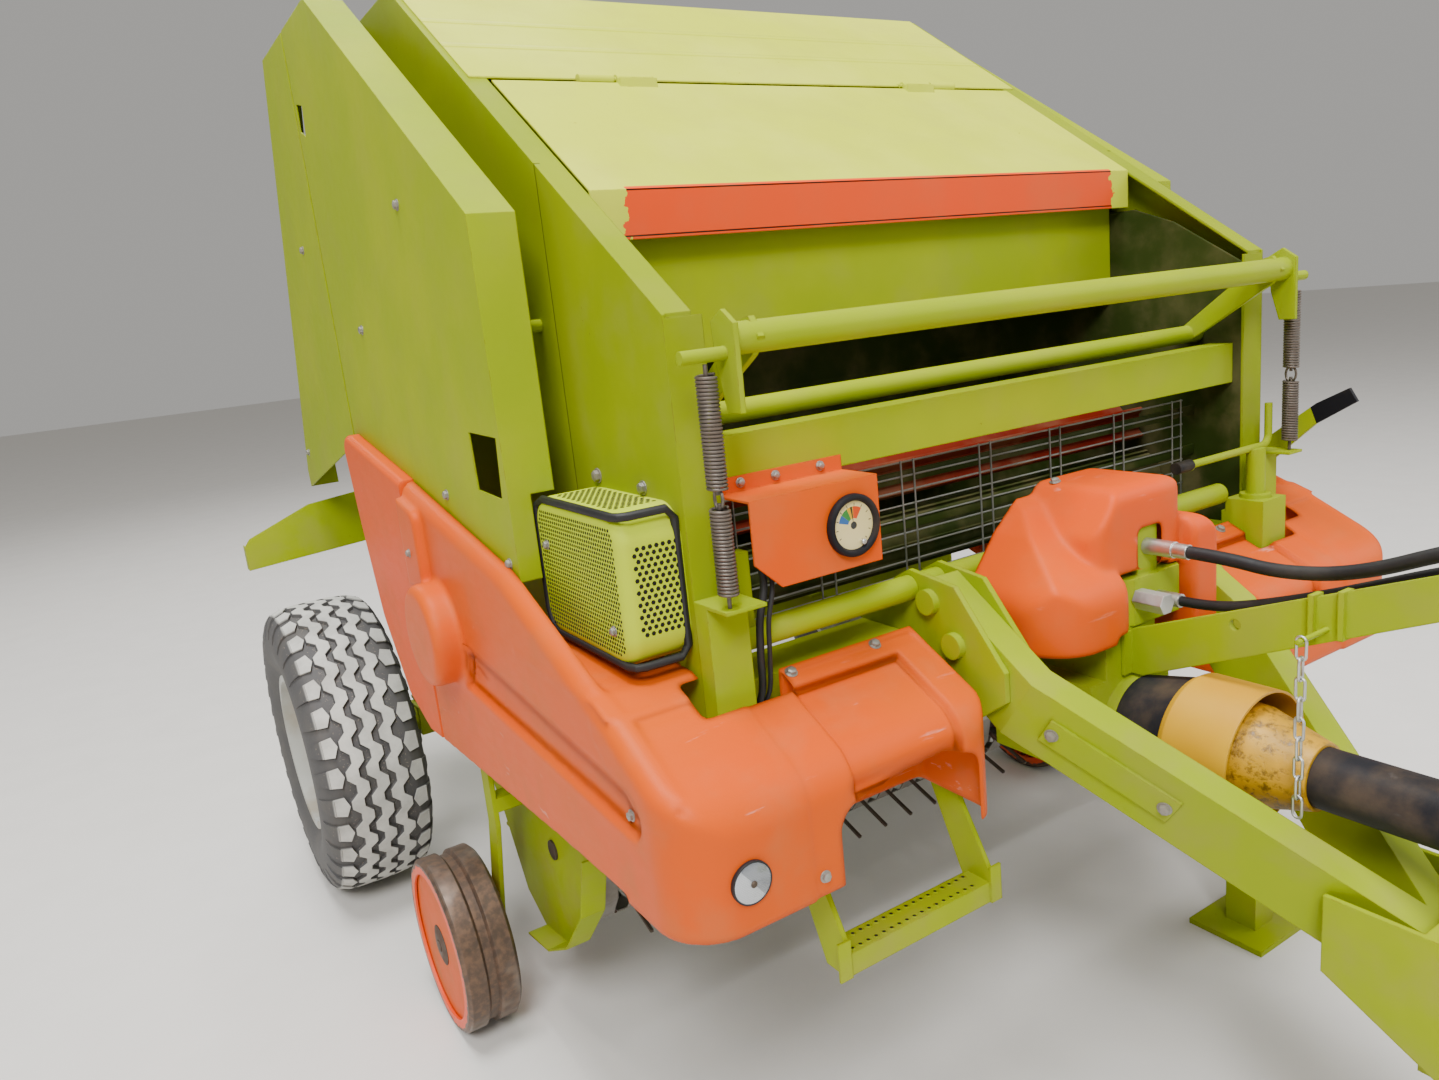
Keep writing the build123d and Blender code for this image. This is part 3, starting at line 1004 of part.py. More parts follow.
COVERS = [
    # name, side, inner end
    ("right", -1, 300.0),
    ("left", 1, 370.0),
]
CHANNEL = [(560, 862), (-40, 806), (-92, 782), (-78, 752), (40, 762), (560, 790)]
for name, side, inner_end in COVERS:
    with BuildPart() as cover:
        add(cover_form(side, inner_end, 0))
        side_form(CHANNEL, [(-92, 782, 20)], side * (COVER_OUT - PANEL_DEPTH), side * (COVER_OUT + 1), Mode.SUBTRACT)
        block((side * 355, side * 568), (COVER_FRONT - 1, COVER_FRONT + PANEL_DEPTH), (755, 790), Mode.SUBTRACT)
        add(cover_form(side, inner_end, COVER_WALL), mode=Mode.SUBTRACT)
        add(thick_corner(side, inner_end))
        rod_x(BOSS_Y, BOSS_Z, BOSS_R, side * (COVER_OUT - COVER_WALL), side * (COVER_OUT + BOSS_OUT))
        fillet(edge_near(cover.part, side * (COVER_OUT + BOSS_OUT), BOSS_Y, BOSS_Z + BOSS_R), 16)
        rod_x(BOSS_Y, BOSS_Z, BOSS_R - 6, side * (COVER_OUT - COVER_WALL - 1), side * (COVER_OUT + BOSS_OUT - 6),
              Mode.SUBTRACT)
        side_form([(690, 940), (690, 1092), (790, 1112), (790, 940)], [(690, 1092, 20)],
                  side * (COVER_OUT - COVER_WALL), side * (COVER_OUT + 16))
        side_strip(SHELF, 4, side * (WALL_OUT + 3), side * (COVER_OUT - 3), Side.RIGHT)
        side_plate([(ARM_REAR - 2, 894), (284, 1024), (284, 921), (20, 911)], side * GUARD_X, side * (GUARD_X + 4))
        block((side * 556, side * 700), (-60, 0), (800, 925), Mode.SUBTRACT)
        if side > 0:
            block((JACK_X - 46, JACK_X + 56), (-94, 0), (600, 925), Mode.SUBTRACT)
        else:
            slot = (STEP_ENDS[0] - HANGER - 3, STEP_ENDS[0] + 3)
            block(slot, (ARM_REAR - COVER_WALL - 1, ARM_REAR + 1), (600, 803), Mode.SUBTRACT)
            cutout = [(-335, 600), (-335, 745), (-390, 762), (-585, 748), (-585, 600)]
            front_form(cutout, [(-335, 745, 25), (-585, 748, 40)], COVER_FRONT - 1, -60, Mode.SUBTRACT)
        block((side * 400, side * 440), (ARM_REAR - 2, CROSS_Y), (805, 835))
    cover.part.label = "cover_" + name
    export_step(cover.part, "parts/cover_" + name + ".step")

# Rear parts of the side covers, with a rounded top rear corner and a return along the edge


def rear_cover_outline(wall):
    """Side view of a rear cover, smaller by the wall."""
    return [
        (803 + wall, 1138 - wall * 0.8), (1246 - wall, 1215 - wall), (1200 - wall, 1000), (1140 - wall, 800 + wall),
        (1030 - wall, 660 + wall), (883 - wall / 2, 607 + wall), (803 + wall, 612 + wall),
    ]


with BuildPart() as rear_covers:
    for side in (1, -1):
        for wall, x_from, x_to, mode in (
            (0, GUARD_X + GAP, COVER_OUT, Mode.ADD),
            (COVER_WALL, GUARD_X - 5, COVER_OUT - COVER_WALL, Mode.SUBTRACT),
        ):
            outline = rear_cover_outline(wall)
            corners = [(outline[1][0], outline[1][1], 40 - wall), (outline[3][0], outline[3][1], 90)]
            side_form(outline, corners, side * x_from, side * x_to, mode)
        fillet(edge_near(rear_covers.part, side * COVER_OUT, 1000, 1172), 12)
rear_covers.part.label = "rear_covers"
export_step(rear_covers.part, "parts/rear_covers.step")

# Perforated box on the right wall: drawn sheet with round corners, open to the wall
BOX_OUT = WALL_OUT + 95
BOX_CORNER = 45.0


def box_form(wall):
    """Outside form of the perforated box, or its hollow when a wall is given."""
    with BuildPart() as form:
        outline = [(14 + wall, 934 + wall), (14 + wall, 1151 - wall), (303 - wall, 1151 - wall),
                   (303 - wall, 934 + wall)]
        corners = [(y, z, BOX_CORNER - wall) for y, z in outline]
        side_form(outline, corners, -WALL_OUT + (1 if wall else 0), -BOX_OUT + wall)
        rim = form.part.faces().sort_by(Axis.X)[0].edges()
        fillet(rim, 18 - wall)
    return form.part


with BuildPart() as side_box:
    add(box_form(0))
    add(box_form(SHEET), mode=Mode.SUBTRACT)
side_box.part.label = "side_box"
export_step(side_box.part, "parts/side_box.step")

# Outer guards over the side drives: front pair on the frame, rear pair on the tailgate
GUARD_OUTLINE = [
    (290, 1022), (290, 1564), (1010, HINGE_Z), (SPLIT, HINGE_Z), (SPLIT, 1195), (778, 1115),
]
FRONT_POSTS = [(400, 1400), (1050, 1350), (900, 1850)]
with BuildPart() as front_guards:
    for side in (1, -1):
        side_plate(GUARD_OUTLINE, side * (GUARD_X - SHEET), side * GUARD_X)
        rim = [(290, 1022), (290, 1564), (1010, HINGE_Z), (SPLIT, HINGE_Z)]
        side_strip(rim, SHEET, side * (GUARD_X - SHEET - GUARD_FLANGE), side * GUARD_X, Side.RIGHT)
        block((side * (GUARD_X - 76), side * (GUARD_X - 36)), (280, 306), (1020, 1154), Mode.SUBTRACT)
        window = [(318, 1149), (307, 1244), (429, 1247), (425, 1154)]
        side_plate(window, side * (GUARD_X - SHEET - 1), side * (GUARD_X + 1), Mode.SUBTRACT)
        slot = [(1183, 1828), (1170, 1886), (1222, 1899), (1226, 1846)]
        side_plate(slot, side * (GUARD_X - SHEET - 1), side * (GUARD_X + 1), Mode.SUBTRACT)
        for y, z in FRONT_POSTS:
            rod_x(y, z, 10, side * WALL_OUT, side * (GUARD_X - SHEET))
front_guards.part.label = "front_guards"
export_step(front_guards.part, "parts/front_guards.step")

GATE_GUARD = [(1248, HINGE_Z), (1478, HINGE_Z), (1904, 1067), (1900, 1020), (1400, 1144), (1248, 1180)]
GATE_POSTS = [(1380, 1975), (1560, 1500), (1780, 1150)]
with BuildPart() as rear_guards:
    for side in (1, -1):
        side_plate(GATE_GUARD, side * (GUARD_X - SHEET), side * GUARD_X)
        side_strip(GATE_GUARD[:4], SHEET, side * (GUARD_X - SHEET - GUARD_FLANGE), side * GUARD_X, Side.RIGHT)
        for y, z in GATE_POSTS:
            rod_x(y, z, 10, side * (CHAMBER_HALF + PLATE), side * (GUARD_X - SHEET))
rear_guards.part.label = "rear_guards"
export_step(rear_guards.part, "parts/rear_guards.step")

# Tailgate walls with rims, hinge lugs and the cylinders' bosses
GATE_OUTLINE = [
    (GATE_START, 2035), (1420, 2035), (1620, 1860), (1800, 1620), (1885, 1360), (1895, 1150), (1840, 930),
    (1720, 780), (1560, 680), (1400, 625), (GATE_START, 610),
]
with BuildPart() as tailgate_walls:
    for side in (1, -1):
        side_plate(GATE_OUTLINE, side * CHAMBER_HALF, side * (CHAMBER_HALF + PLATE))
        side_strip(GATE_OUTLINE, PLATE, side * CHAMBER_HALF, side * 640, Side.RIGHT)
        lug = [(HINGE_Y - 10, HINGE_Z - 24), (HINGE_Y + 10, HINGE_Z + 24), (1330, 2010), (1330, 1940), (1270, 1940)]
        side_plate(lug, side * 676, side * 690)
        rod_x(HINGE_Y, HINGE_Z, 26, side * 676, side * 690)
        rod_x(HINGE_Y, HINGE_Z, HINGE_PIN_R + RUN, side * 670, side * 700, Mode.SUBTRACT)
        block((side * CHAMBER_HALF, side * 690), (1280, 1310), (1940, 2000))
        rod_x(EYE_Y, EYE_Z, 30, side * CHAMBER_HALF, side * (CYLINDER_X - 18 - GAP))
tailgate_walls.part.label = "tailgate_walls"
export_step(tailgate_walls.part, "parts/tailgate_walls.step")

# Rear half of the chamber's drum and the tailgate's top sheet
with BuildPart() as tailgate_sheet:
    arc_sheet(CHAMBER_R, CHAMBER_R + SHEET, -89.4, 89.4, CHAMBER_HALF)
    side_strip(GATE_OUTLINE[:5], SHEET, -CHAMBER_HALF, CHAMBER_HALF, Side.RIGHT)
tailgate_sheet.part.label = "tailgate_sheet"
export_step(tailgate_sheet.part, "parts/tailgate_sheet.step")

# Rear lamp wings
WING_Y = 1925.0
with BuildPart() as lamp_wings:
    for side in (1, -1):
        wing = [(640, 835), (640, 985), (815, 968), (985, 900), (1000, 880), (1000, 812)]
        front_plate([(side * x, z) for x, z in wing], WING_Y - SHEET, WING_Y)
        block((side * (1000 - SHEET), side * 1000), (WING_Y, REAR_REACH), (812, 880))
        side_plate([(1790, 890), (1800, 1000), (1850, 1000), (WING_Y, 980), (WING_Y, 840)], side * 640, side * 646)
lamp_wings.part.label = "lamp_wings"
export_step(lamp_wings.part, "parts/lamp_wings.step")

# Tailgate cylinders: barrel with its base eye, rod with its piston and eye
STROKE_DY = EYE_Y - BASE_Y
STROKE_DZ = EYE_Z - BASE_Z
CLOSED = math.hypot(STROKE_DY, STROKE_DZ)
BARREL_BORE = 20.0
BARREL_LENGTH = 720.0
ROD_R = 12.5
for name, side in (("right", -1), ("left", 1)):
    bed = Plane(origin=(side * CYLINDER_X, back(BASE_Y), BASE_Z), x_dir=(1, 0, 0),
                z_dir=(0, STROKE_DY / CLOSED, STROKE_DZ / CLOSED))
    with BuildPart() as barrel:
        with BuildSketch(bed.offset(24)):
            Circle(BARREL_R)
        extrude(amount=BARREL_LENGTH - 24)
        with BuildSketch(bed.offset(50)):
            Circle(BARREL_BORE + RUN)
        extrude(amount=BARREL_LENGTH - 80, mode=Mode.SUBTRACT)
        with BuildSketch(bed.offset(60)):
            Circle(ROD_R + RUN)
        extrude(amount=BARREL_LENGTH, mode=Mode.SUBTRACT)
        rod_x(BASE_Y, BASE_Z, 27, side * (CYLINDER_X - 24), side * (CYLINDER_X + 18))
        rod_x(BASE_Y, BASE_Z, CYLINDER_PIN_R + RUN, side * (CYLINDER_X - 30), side * (CYLINDER_X + 30),
              Mode.SUBTRACT)
    barrel.part.label = "tailgate_barrel_" + name
    export_step(barrel.part, "parts/tailgate_barrel_" + name + ".step")
    with BuildPart() as ram:
        with BuildSketch(bed.offset(CLOSED - 746)):
            Circle(ROD_R)
        extrude(amount=746 - 20)
        with BuildSketch(bed.offset(CLOSED - 746)):
            Circle(BARREL_BORE)
        extrude(amount=30)
        rod_x(EYE_Y, EYE_Z, 26, side * (CYLINDER_X - 18), side * (CYLINDER_X + 18))
        rod_x(EYE_Y, EYE_Z, 18, side * (CYLINDER_X + 18), side * (CYLINDER_X + 24))
    ram.part.label = "tailgate_rod_" + name
    export_step(ram.part, "parts/tailgate_rod_" + name + ".step")
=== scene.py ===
"""Dressed model of a towed round baler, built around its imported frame."""
from __future__ import annotations

import json
import logging
import math
import random
from dataclasses import dataclass
from enum import Enum

import bmesh
import bpy
from mathutils import Matrix, Vector
from mathutils.bvhtree import BVHTree

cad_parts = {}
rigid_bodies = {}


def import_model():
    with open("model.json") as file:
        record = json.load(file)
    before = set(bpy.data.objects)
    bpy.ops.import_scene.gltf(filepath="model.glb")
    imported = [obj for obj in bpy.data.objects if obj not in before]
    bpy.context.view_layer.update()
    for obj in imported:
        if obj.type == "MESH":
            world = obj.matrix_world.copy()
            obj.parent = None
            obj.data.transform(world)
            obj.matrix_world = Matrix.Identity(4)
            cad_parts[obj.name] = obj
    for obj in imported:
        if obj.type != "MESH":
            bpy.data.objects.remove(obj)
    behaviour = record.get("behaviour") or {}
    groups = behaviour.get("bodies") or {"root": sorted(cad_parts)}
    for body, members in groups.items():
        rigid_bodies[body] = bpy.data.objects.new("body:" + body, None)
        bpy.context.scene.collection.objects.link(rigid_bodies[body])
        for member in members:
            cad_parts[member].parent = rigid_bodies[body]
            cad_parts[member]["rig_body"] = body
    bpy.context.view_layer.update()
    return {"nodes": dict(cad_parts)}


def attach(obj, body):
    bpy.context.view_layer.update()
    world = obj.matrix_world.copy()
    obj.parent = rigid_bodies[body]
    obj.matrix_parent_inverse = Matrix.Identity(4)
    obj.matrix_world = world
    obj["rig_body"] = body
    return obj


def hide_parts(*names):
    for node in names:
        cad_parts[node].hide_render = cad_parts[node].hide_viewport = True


LOG = logging.getLogger("baler")

FRONT = -0.350  # Y of the side walls' front edge
IMAGE_WIDTH = 1439  # pixels across the picture that the camera's focal length belongs to
FULL_TURN = 2 * math.pi
SIDES = ((1, "left"), (-1, "right"))

# Places that more than one class needs, in metres, with Y behind the walls' front edge.
ROAD_WHEEL = (0.894, 1.580, 0.380)
GAUGE_WHEEL = (0.860, 0.790, 0.180)
REFLECTOR = (0.735, 0.708)
DIAL = (-0.433, 1.084)
SHAFT_Z = 0.700

Colour = tuple[float, float, float, float]
Point = tuple[float, float, float]


def back(distance: float) -> float:
    """Y of a point this far behind the front edge of the side walls."""
    return FRONT + distance


def seated(point: Point) -> Vector:
    """Place of a point whose Y is given behind the walls' front edge."""
    x, ym, z = point
    return Vector((x, back(ym), z))


def angles(count: int, start: float = 0.0) -> list[float]:
    """Angles of even steps once round, from this share of a step on."""
    return [FULL_TURN * (step + start) / count for step in range(count)]


def band_top(ym: Socket | float) -> Socket | float:
    """Height of the upper edge of the band along the side covers, which rises to the rear."""
    return (ym + 0.065) * 0.095 + 0.814


def rgb(red: float, green: float, blue: float) -> Colour:
    """Linear colour from sRGB parts between 0 and 255."""
    def linear(part: float) -> float:
        """One part's linear value."""
        share = part / 255
        return share / 12.92 if share <= 0.04045 else ((share + 0.055) / 1.055) ** 2.4
    return (linear(red), linear(green), linear(blue), 1.0)


class Socket:
    """A shader value whose arithmetic adds Math nodes."""

    def __init__(self, sheet: NodeSheet, output: bpy.types.NodeSocket) -> None:
        """Wraps an output of a node on the given sheet."""
        self.sheet = sheet
        self.output = output

    def _math(self, operation: str, other: Socket | float, swap: bool = False) -> Socket:
        """Adds one Math node.

        Args:
            operation: Math node's operation.
            other: The second value.
            swap: True where the other value comes first.

        Returns:
            The node's value.
        """
        first, second = (other, self) if swap else (self, other)
        return self.sheet.add("ShaderNodeMath", {"operation": operation}, {0: first, 1: second})

    def __add__(self, other: Socket | float) -> Socket:
        """Sum."""
        return self._math("ADD", other)

    def __sub__(self, other: Socket | float) -> Socket:
        """Difference."""
        return self._math("SUBTRACT", other)

    def __rsub__(self, other: float) -> Socket:
        """Reflected difference."""
        return self._math("SUBTRACT", other, True)

    def __mul__(self, other: Socket | float) -> Socket:
        """Product."""
        return self._math("MULTIPLY", other)

    __radd__, __rmul__ = __add__, __mul__

    def above(self, limit: Socket | float) -> Socket:
        """One where the value is above the limit."""
        return self._math("GREATER_THAN", limit)

    def below(self, limit: Socket | float) -> Socket:
        """One where the value is below the limit."""
        return self._math("LESS_THAN", limit)

    def absolute(self) -> Socket:
        """Absolute value."""
        return self._math("ABSOLUTE", 0.0)

    def largest(self, other: Socket | float) -> Socket:
        """Larger of two values."""
        return self._math("MAXIMUM", other)

    def smallest(self, other: Socket | float) -> Socket:
        """Smaller of two values."""
        return self._math("MINIMUM", other)

    def root(self) -> Socket:
        """Square root."""
        return self._math("SQRT", 0.0)

    def hypot(self, other: Socket) -> Socket:
        """Length of the diagonal over two values."""
        return (self * self + other * other).root()

    def sine(self) -> Socket:
        """Sine."""
        return self._math("SINE", 0.0)

    def turn(self, other: Socket) -> Socket:
        """Angle from the other axis towards this one."""
        return self._math("ARCTAN2", other)

    def ramp(self, low: float, high: float) -> Socket:
        """Smooth step from zero at low to one at high."""
        settings = {"interpolation_type": "SMOOTHSTEP"}
        return self.sheet.add("ShaderNodeMapRange", settings, {"Value": self, "From Min": low, "From Max": high})


class NodeSheet:
    """Builds one material's node tree."""

    def __init__(self, name: str) -> None:
        """Starts an empty material of this name."""
        self.material = bpy.data.materials.new(name)
        self.material.use_nodes = True
        self.tree = self.material.node_tree
        self.tree.nodes.clear()
        self.place = self.raw("ShaderNodeTexCoord").outputs["Object"]

    def raw(self, kind: str, settings: dict | None = None, inputs: dict | None = None) -> bpy.types.Node:
        """Adds a node.

        Args:
            kind: Blender's node type.
            settings: Attributes set before the sockets.
            inputs: Socket name or index to a value, a Socket or a node output.

        Returns:
            The node.
        """
        node = self.tree.nodes.new(kind)
        for key, value in (settings or {}).items():
            setattr(node, key, value)
        for key, value in (inputs or {}).items():
            socket = node.inputs[key]
            if isinstance(value, Socket):
                self.tree.links.new(value.output, socket)
            elif isinstance(value, bpy.types.NodeSocket):
                self.tree.links.new(value, socket)
            else:
                socket.default_value = value
        return node

    def add(self, kind: str, settings: dict | None = None, inputs: dict | None = None, output: int | str = 0) -> Socket:
        """Adds a node and returns one of its outputs as a Socket."""
        return Socket(self, self.raw(kind, settings, inputs).outputs[output])

    def noise(self, scale: float, detail: float = 3.0, rough: float = 0.55, stretch: Point = (1, 1, 1)) -> Socket:
        """Noise over the piece's own place, in cells of about 1/scale metres."""
        where = self.add("ShaderNodeMapping", None, {"Vector": self.place, "Scale": stretch})
        inputs = {"Vector": where, "Scale": scale, "Detail": detail, "Roughness": rough}
        return self.add("ShaderNodeTexNoise", None, inputs)

    def height(self) -> Socket:
        """Height above the ground in metres."""
        return self.add("ShaderNodeSeparateXYZ", None, {"Vector": self.place}, "Z")

    def across(self) -> Socket:
        """X of the shaded point."""
        return self.add("ShaderNodeSeparateXYZ", None, {"Vector": self.place}, "X")

    def behind(self) -> Socket:
        """Distance of the shaded point behind the walls' front edge."""
        return self.add("ShaderNodeSeparateXYZ", None, {"Vector": self.place}, "Y") - FRONT

    def window(self, value: Socket, low: float, high: float, soft: float) -> Socket:
        """One where a value lies between two limits, with soft edges."""
        return value.ramp(low - soft, low + soft) * (1.0 - value.ramp(high - soft, high + soft))

    def blend(self, mask: Socket | float, first: Colour | Socket, second: Colour | Socket) -> Socket:
        """Mixes two colours by a mask."""
        settings = {"data_type": "RGBA", "clamp_factor": True}
        return self.add("ShaderNodeMix", settings, {0: mask, 6: first, 7: second}, 2)

    def edge(self, radius: float) -> Socket:
        """Mask that is one along outer edges, from the angle between rounded and flat normals."""
        soft = self.add("ShaderNodeBevel", {"samples": 4}, {"Radius": radius}).output
        flat = self.raw("ShaderNodeNewGeometry").outputs["Normal"]
        dot = self.add("ShaderNodeVectorMath", {"operation": "DOT_PRODUCT"}, {0: soft, 1: flat}, "Value")
        return (1.0 - dot).ramp(0.02, 0.12)

    def bump(self, height: Socket, strength: float, distance: float, rounding: float = 0.0) -> Socket:
        """Bump, over rounded edges where a rounding radius is given."""
        inputs = {"Height": height, "Strength": strength, "Distance": distance}
        if rounding > 0:
            inputs["Normal"] = self.add("ShaderNodeBevel", {"samples": 4}, {"Radius": rounding})
        return self.add("ShaderNodeBump", None, inputs)

    def finish(self, colour: Socket | Colour, rough: Socket | float, metal: Socket | float = 0.0,
               normal: Socket | None = None, coat: float = 0.0, fixed: dict | None = None) -> bpy.types.Material:
        """Closes the tree with a Principled shader.

        Args:
            colour: Base colour.
            rough: Roughness.
            metal: Metallic share.
            normal: Bumped normal.
            coat: Constant weight of the clear coat.
            fixed: Other constant sockets.

        Returns:
            The material.
        """
        inputs = {"Base Color": colour, "Roughness": rough, "Metallic": metal}
        if normal is not None:
            inputs["Normal"] = normal
        if coat > 0:
            inputs["Coat Weight"] = coat
            inputs["Coat Roughness"] = 0.12
        inputs.update(fixed or {})
        shader = self.raw("ShaderNodeBsdfPrincipled", None, inputs)
        out = self.raw("ShaderNodeOutputMaterial")
        self.tree.links.new(shader.outputs[0], out.inputs["Surface"])
        return self.material


@dataclass(frozen=True)
class Marked:
    """What paints and mouldings share: a colour that fades in patches, and room for a piece's own marks."""

    name: str
    colour: Colour
    faded: Colour

    def marks(self, sheet: NodeSheet, base: Socket) -> tuple[Socket, Socket | float]:
        """Colour with this piece's own marks on it, and their relief; a plain finish has none."""
        return base, 0.0


@dataclass(frozen=True)
class Paint(Marked):
    """Gloss paint on steel, with faded patches, dust, chipped edges and a little rust."""

    rough: float = 0.33
    wear: float = 0.5
    dust: float = 0.35
    rounding: float = 0.003

    def material(self) -> bpy.types.Material:
        """Builds the material."""
        sheet = NodeSheet(self.name)
        patch = sheet.noise(3.1, 4.0).ramp(0.38, 0.68)
        fine = sheet.noise(46.0, 4.0)
        base = sheet.blend(patch, self.colour, self.faded)
        edge = sheet.edge(self.rounding)
        chip = (edge * fine.ramp(0.50, 0.62) * self.wear).smallest(1.0)
        spots = sheet.noise(120.0, 2.0).ramp(0.735, 0.76) * sheet.noise(5.0, 2.0).ramp(0.52, 0.66) * self.wear
        bare = chip.largest(spots)
        rust = sheet.blend(fine, rgb(70, 44, 28), rgb(128, 84, 52))
        base = sheet.blend(bare, base, rust)
        low = 1.0 - sheet.height().ramp(0.1, 1.5)
        base, relief = self.marks(sheet, base)
        film = (sheet.noise(9.0, 5.0).ramp(0.42, 0.72) * (low * 0.7 + 0.3) * self.dust).smallest(1.0)
        base = sheet.blend(film, base, rgb(150, 130, 96))
        rough = fine * 0.12 + self.rough + 0.08 + film * 0.35 + bare * 0.3
        wave = sheet.noise(7.0, 2.0) * 0.1 + fine * 0.02 - bare * 0.05 + relief
        normal = sheet.bump(wave, 1.0, 0.004, self.rounding)
        return sheet.finish(base, rough, 0.0, normal, 0.0, {"Specular IOR Level": 0.08})


@dataclass(frozen=True)
class Moulding(Marked):
    """Moulded plastic with fine grain, scuffs and dust."""

    rough: float = 0.38
    dust: float = 0.3
    scuff: float = 0.5
    rounding: float = 0.006

    def material(self) -> bpy.types.Material:
        """Builds the material."""
        sheet = NodeSheet(self.name)
        patch = sheet.noise(2.3, 3.0).ramp(0.35, 0.7)
        base = sheet.blend(patch, self.colour, self.faded)
        streak = sheet.noise(22.0, 5.0, 0.6, (0.35, 1.0, 3.0))
        scuffs = streak.ramp(0.63, 0.72) * sheet.noise(4.0, 2.0).ramp(0.5, 0.7) * self.scuff
        pale = tuple(min(1.0, part * 0.55 + 0.35) for part in self.faded[:3]) + (1.0,)
        base = sheet.blend(scuffs, base, pale)
        base, relief = self.marks(sheet, base)
        low = 1.0 - sheet.height().ramp(0.1, 1.3)
        film = (sheet.noise(11.0, 5.0).ramp(0.45, 0.75) * (low * 0.6 + 0.4) * self.dust).smallest(1.0)
        base = sheet.blend(film, base, rgb(150, 122, 88))
        rough = streak * 0.14 + self.rough + film * 0.35 + scuffs * 0.15
        grain = sheet.noise(420.0, 1.0) * 0.03 + sheet.noise(5.0, 2.0) * 0.12 + relief
        normal = sheet.bump(grain, 1.0, 0.004, self.rounding)
        return sheet.finish(base, rough, 0.0, normal, 0.0, {"Specular IOR Level": 0.14})


@dataclass(frozen=True)
class CoverMoulding(Moulding):
    """Moulding of the side covers, with painted shade along the groove at the band of their side."""

    seam_front: float = -0.060
    seam_rear: float = 0.545

    def marks(self, sheet: NodeSheet, base: Socket) -> tuple[Socket, Socket | float]:
        """Darkens the groove with painted shade."""
        x, ym, z = sheet.across().absolute(), sheet.behind(), sheet.height()
        seam_shade = (1.0 - (band_top(ym) - z + 0.001).absolute().ramp(0.0004, 0.0014)) * x.above(0.815)
        seam_shade = seam_shade * ym.above(self.seam_front) * ym.below(self.seam_rear)
        # painted shade: the groove line is darkened to a deep orange, with a small bump down
        return sheet.blend(seam_shade * 0.8, base, rgb(112, 36, 12)), seam_shade * -0.25


@dataclass(frozen=True)
class HoodPaint(Paint):
    """Hood paint with a plain orange band along the front edge, its ends torn, between thin dark lines."""

    low: float = 1.512
    high: float = 1.590
    reach: float = 0.560

    def marks(self, sheet: NodeSheet, base: Socket) -> tuple[Socket, Socket | float]:
        """Lays the band on the front face."""
        x, z, ym = sheet.across().absolute(), sheet.height(), sheet.behind()
        torn = sheet.noise(38.0, 4.0) * 0.060
        on_front = ym.below(0.285)
        band = sheet.window(z, self.low, self.high, 0.0006) * (x + torn).below(self.reach + 0.03) * on_front
        lines = sheet.window(z, self.low + 0.004, self.low + 0.0065, 0.0004)
        lines = lines.largest(sheet.window(z, self.high - 0.0065, self.high - 0.004, 0.0004))
        shade = sheet.blend(sheet.noise(4.0, 2.0), rgb(232, 66, 10), rgb(220, 78, 26))
        shade = sheet.blend(lines, shade, rgb(28, 20, 16))
        return sheet.blend(band, base, shade), band * 0.06


@dataclass(frozen=True)
class RidgePaint(Paint):
    """Paint of the top sheet with two pressed ribs across it."""

    ribs: tuple[float, ...] = (0.700, 0.790)

    def marks(self, sheet: NodeSheet, base: Socket) -> tuple[Socket, Socket | float]:
        """Presses the ribs."""
        ym = sheet.behind()
        relief = sum(1.0 - (ym - place).absolute().ramp(0.003, 0.010) for place in self.ribs)
        return base, relief * 0.9


@dataclass(frozen=True)
class CappedPaint(Paint):
    """Paint of a piece whose end is a black grip or cap, beyond a line in one direction."""

    way: tuple[float, float, float] = (1.0, 0.0, 0.0)
    limit: float = 0.0
    grip: Colour = rgb(26, 26, 30)

    def marks(self, sheet: NodeSheet, base: Socket) -> tuple[Socket, Socket | float]:
        """Blackens what lies beyond the line."""
        reach = sheet.across() * self.way[0] + sheet.behind() * self.way[1] + sheet.height() * self.way[2]
        capped = reach.above(self.limit)
        return sheet.blend(capped, base, self.grip), capped * 0.3


@dataclass(frozen=True)
class WallPaint(Paint):
    """Paint of the side walls with the joint line between their two sheets."""

    place: float = 0.340

    def marks(self, sheet: NodeSheet, base: Socket) -> tuple[Socket, Socket | float]:
        """Draws the joint line on the outer face."""
        x, ym, z = sheet.across().absolute(), sheet.behind(), sheet.height()
        line = 1.0 - (ym - self.place).absolute().ramp(0.0008, 0.0020)
        line = line * x.above(0.655) * z.above(1.10)
        return sheet.blend(line * 0.7, base, rgb(70, 74, 10)), line * -0.4


@dataclass(frozen=True)
class Steel:
    """Bare or plated steel with stains."""

    name: str
    colour: Colour
    stain: Colour
    rough: float = 0.35
    amount: float = 0.5
    rounding: float = 0.002

    def material(self) -> bpy.types.Material:
        """Builds the material."""
        sheet = NodeSheet(self.name)
        fine = sheet.noise(60.0, 4.0)
        mask = (sheet.noise(13.0, 5.0).ramp(0.4, 0.66) * self.amount).smallest(1.0)
        base = sheet.blend(mask, self.colour, self.stain)
        rough = fine * 0.2 + self.rough + mask * 0.35
        normal = sheet.bump(fine, 0.2, 0.002, self.rounding)
        return sheet.finish(base, rough, 1.0 - mask, normal)


@dataclass(frozen=True)
class Rubber:
    """Rubber with a dusty film in patches."""

    name: str
    colour: Colour
    dust: Colour
    rough: float = 0.62
    film: float = 0.35
    grain: float = 90.0

    def material(self) -> bpy.types.Material:
        """Builds the material."""
        sheet = NodeSheet(self.name)
        coarse = sheet.noise(7.0, 5.0)
        film = (coarse.ramp(0.4, 0.7) * self.film).smallest(1.0)
        base = sheet.blend(film, self.colour, self.dust)
        fine = sheet.noise(self.grain, 4.0)
        rough = fine * 0.18 + self.rough + film * 0.2
        normal = sheet.bump(fine, 0.25, 0.002, 0.002)
        return sheet.finish(base, rough, 0.0, normal)


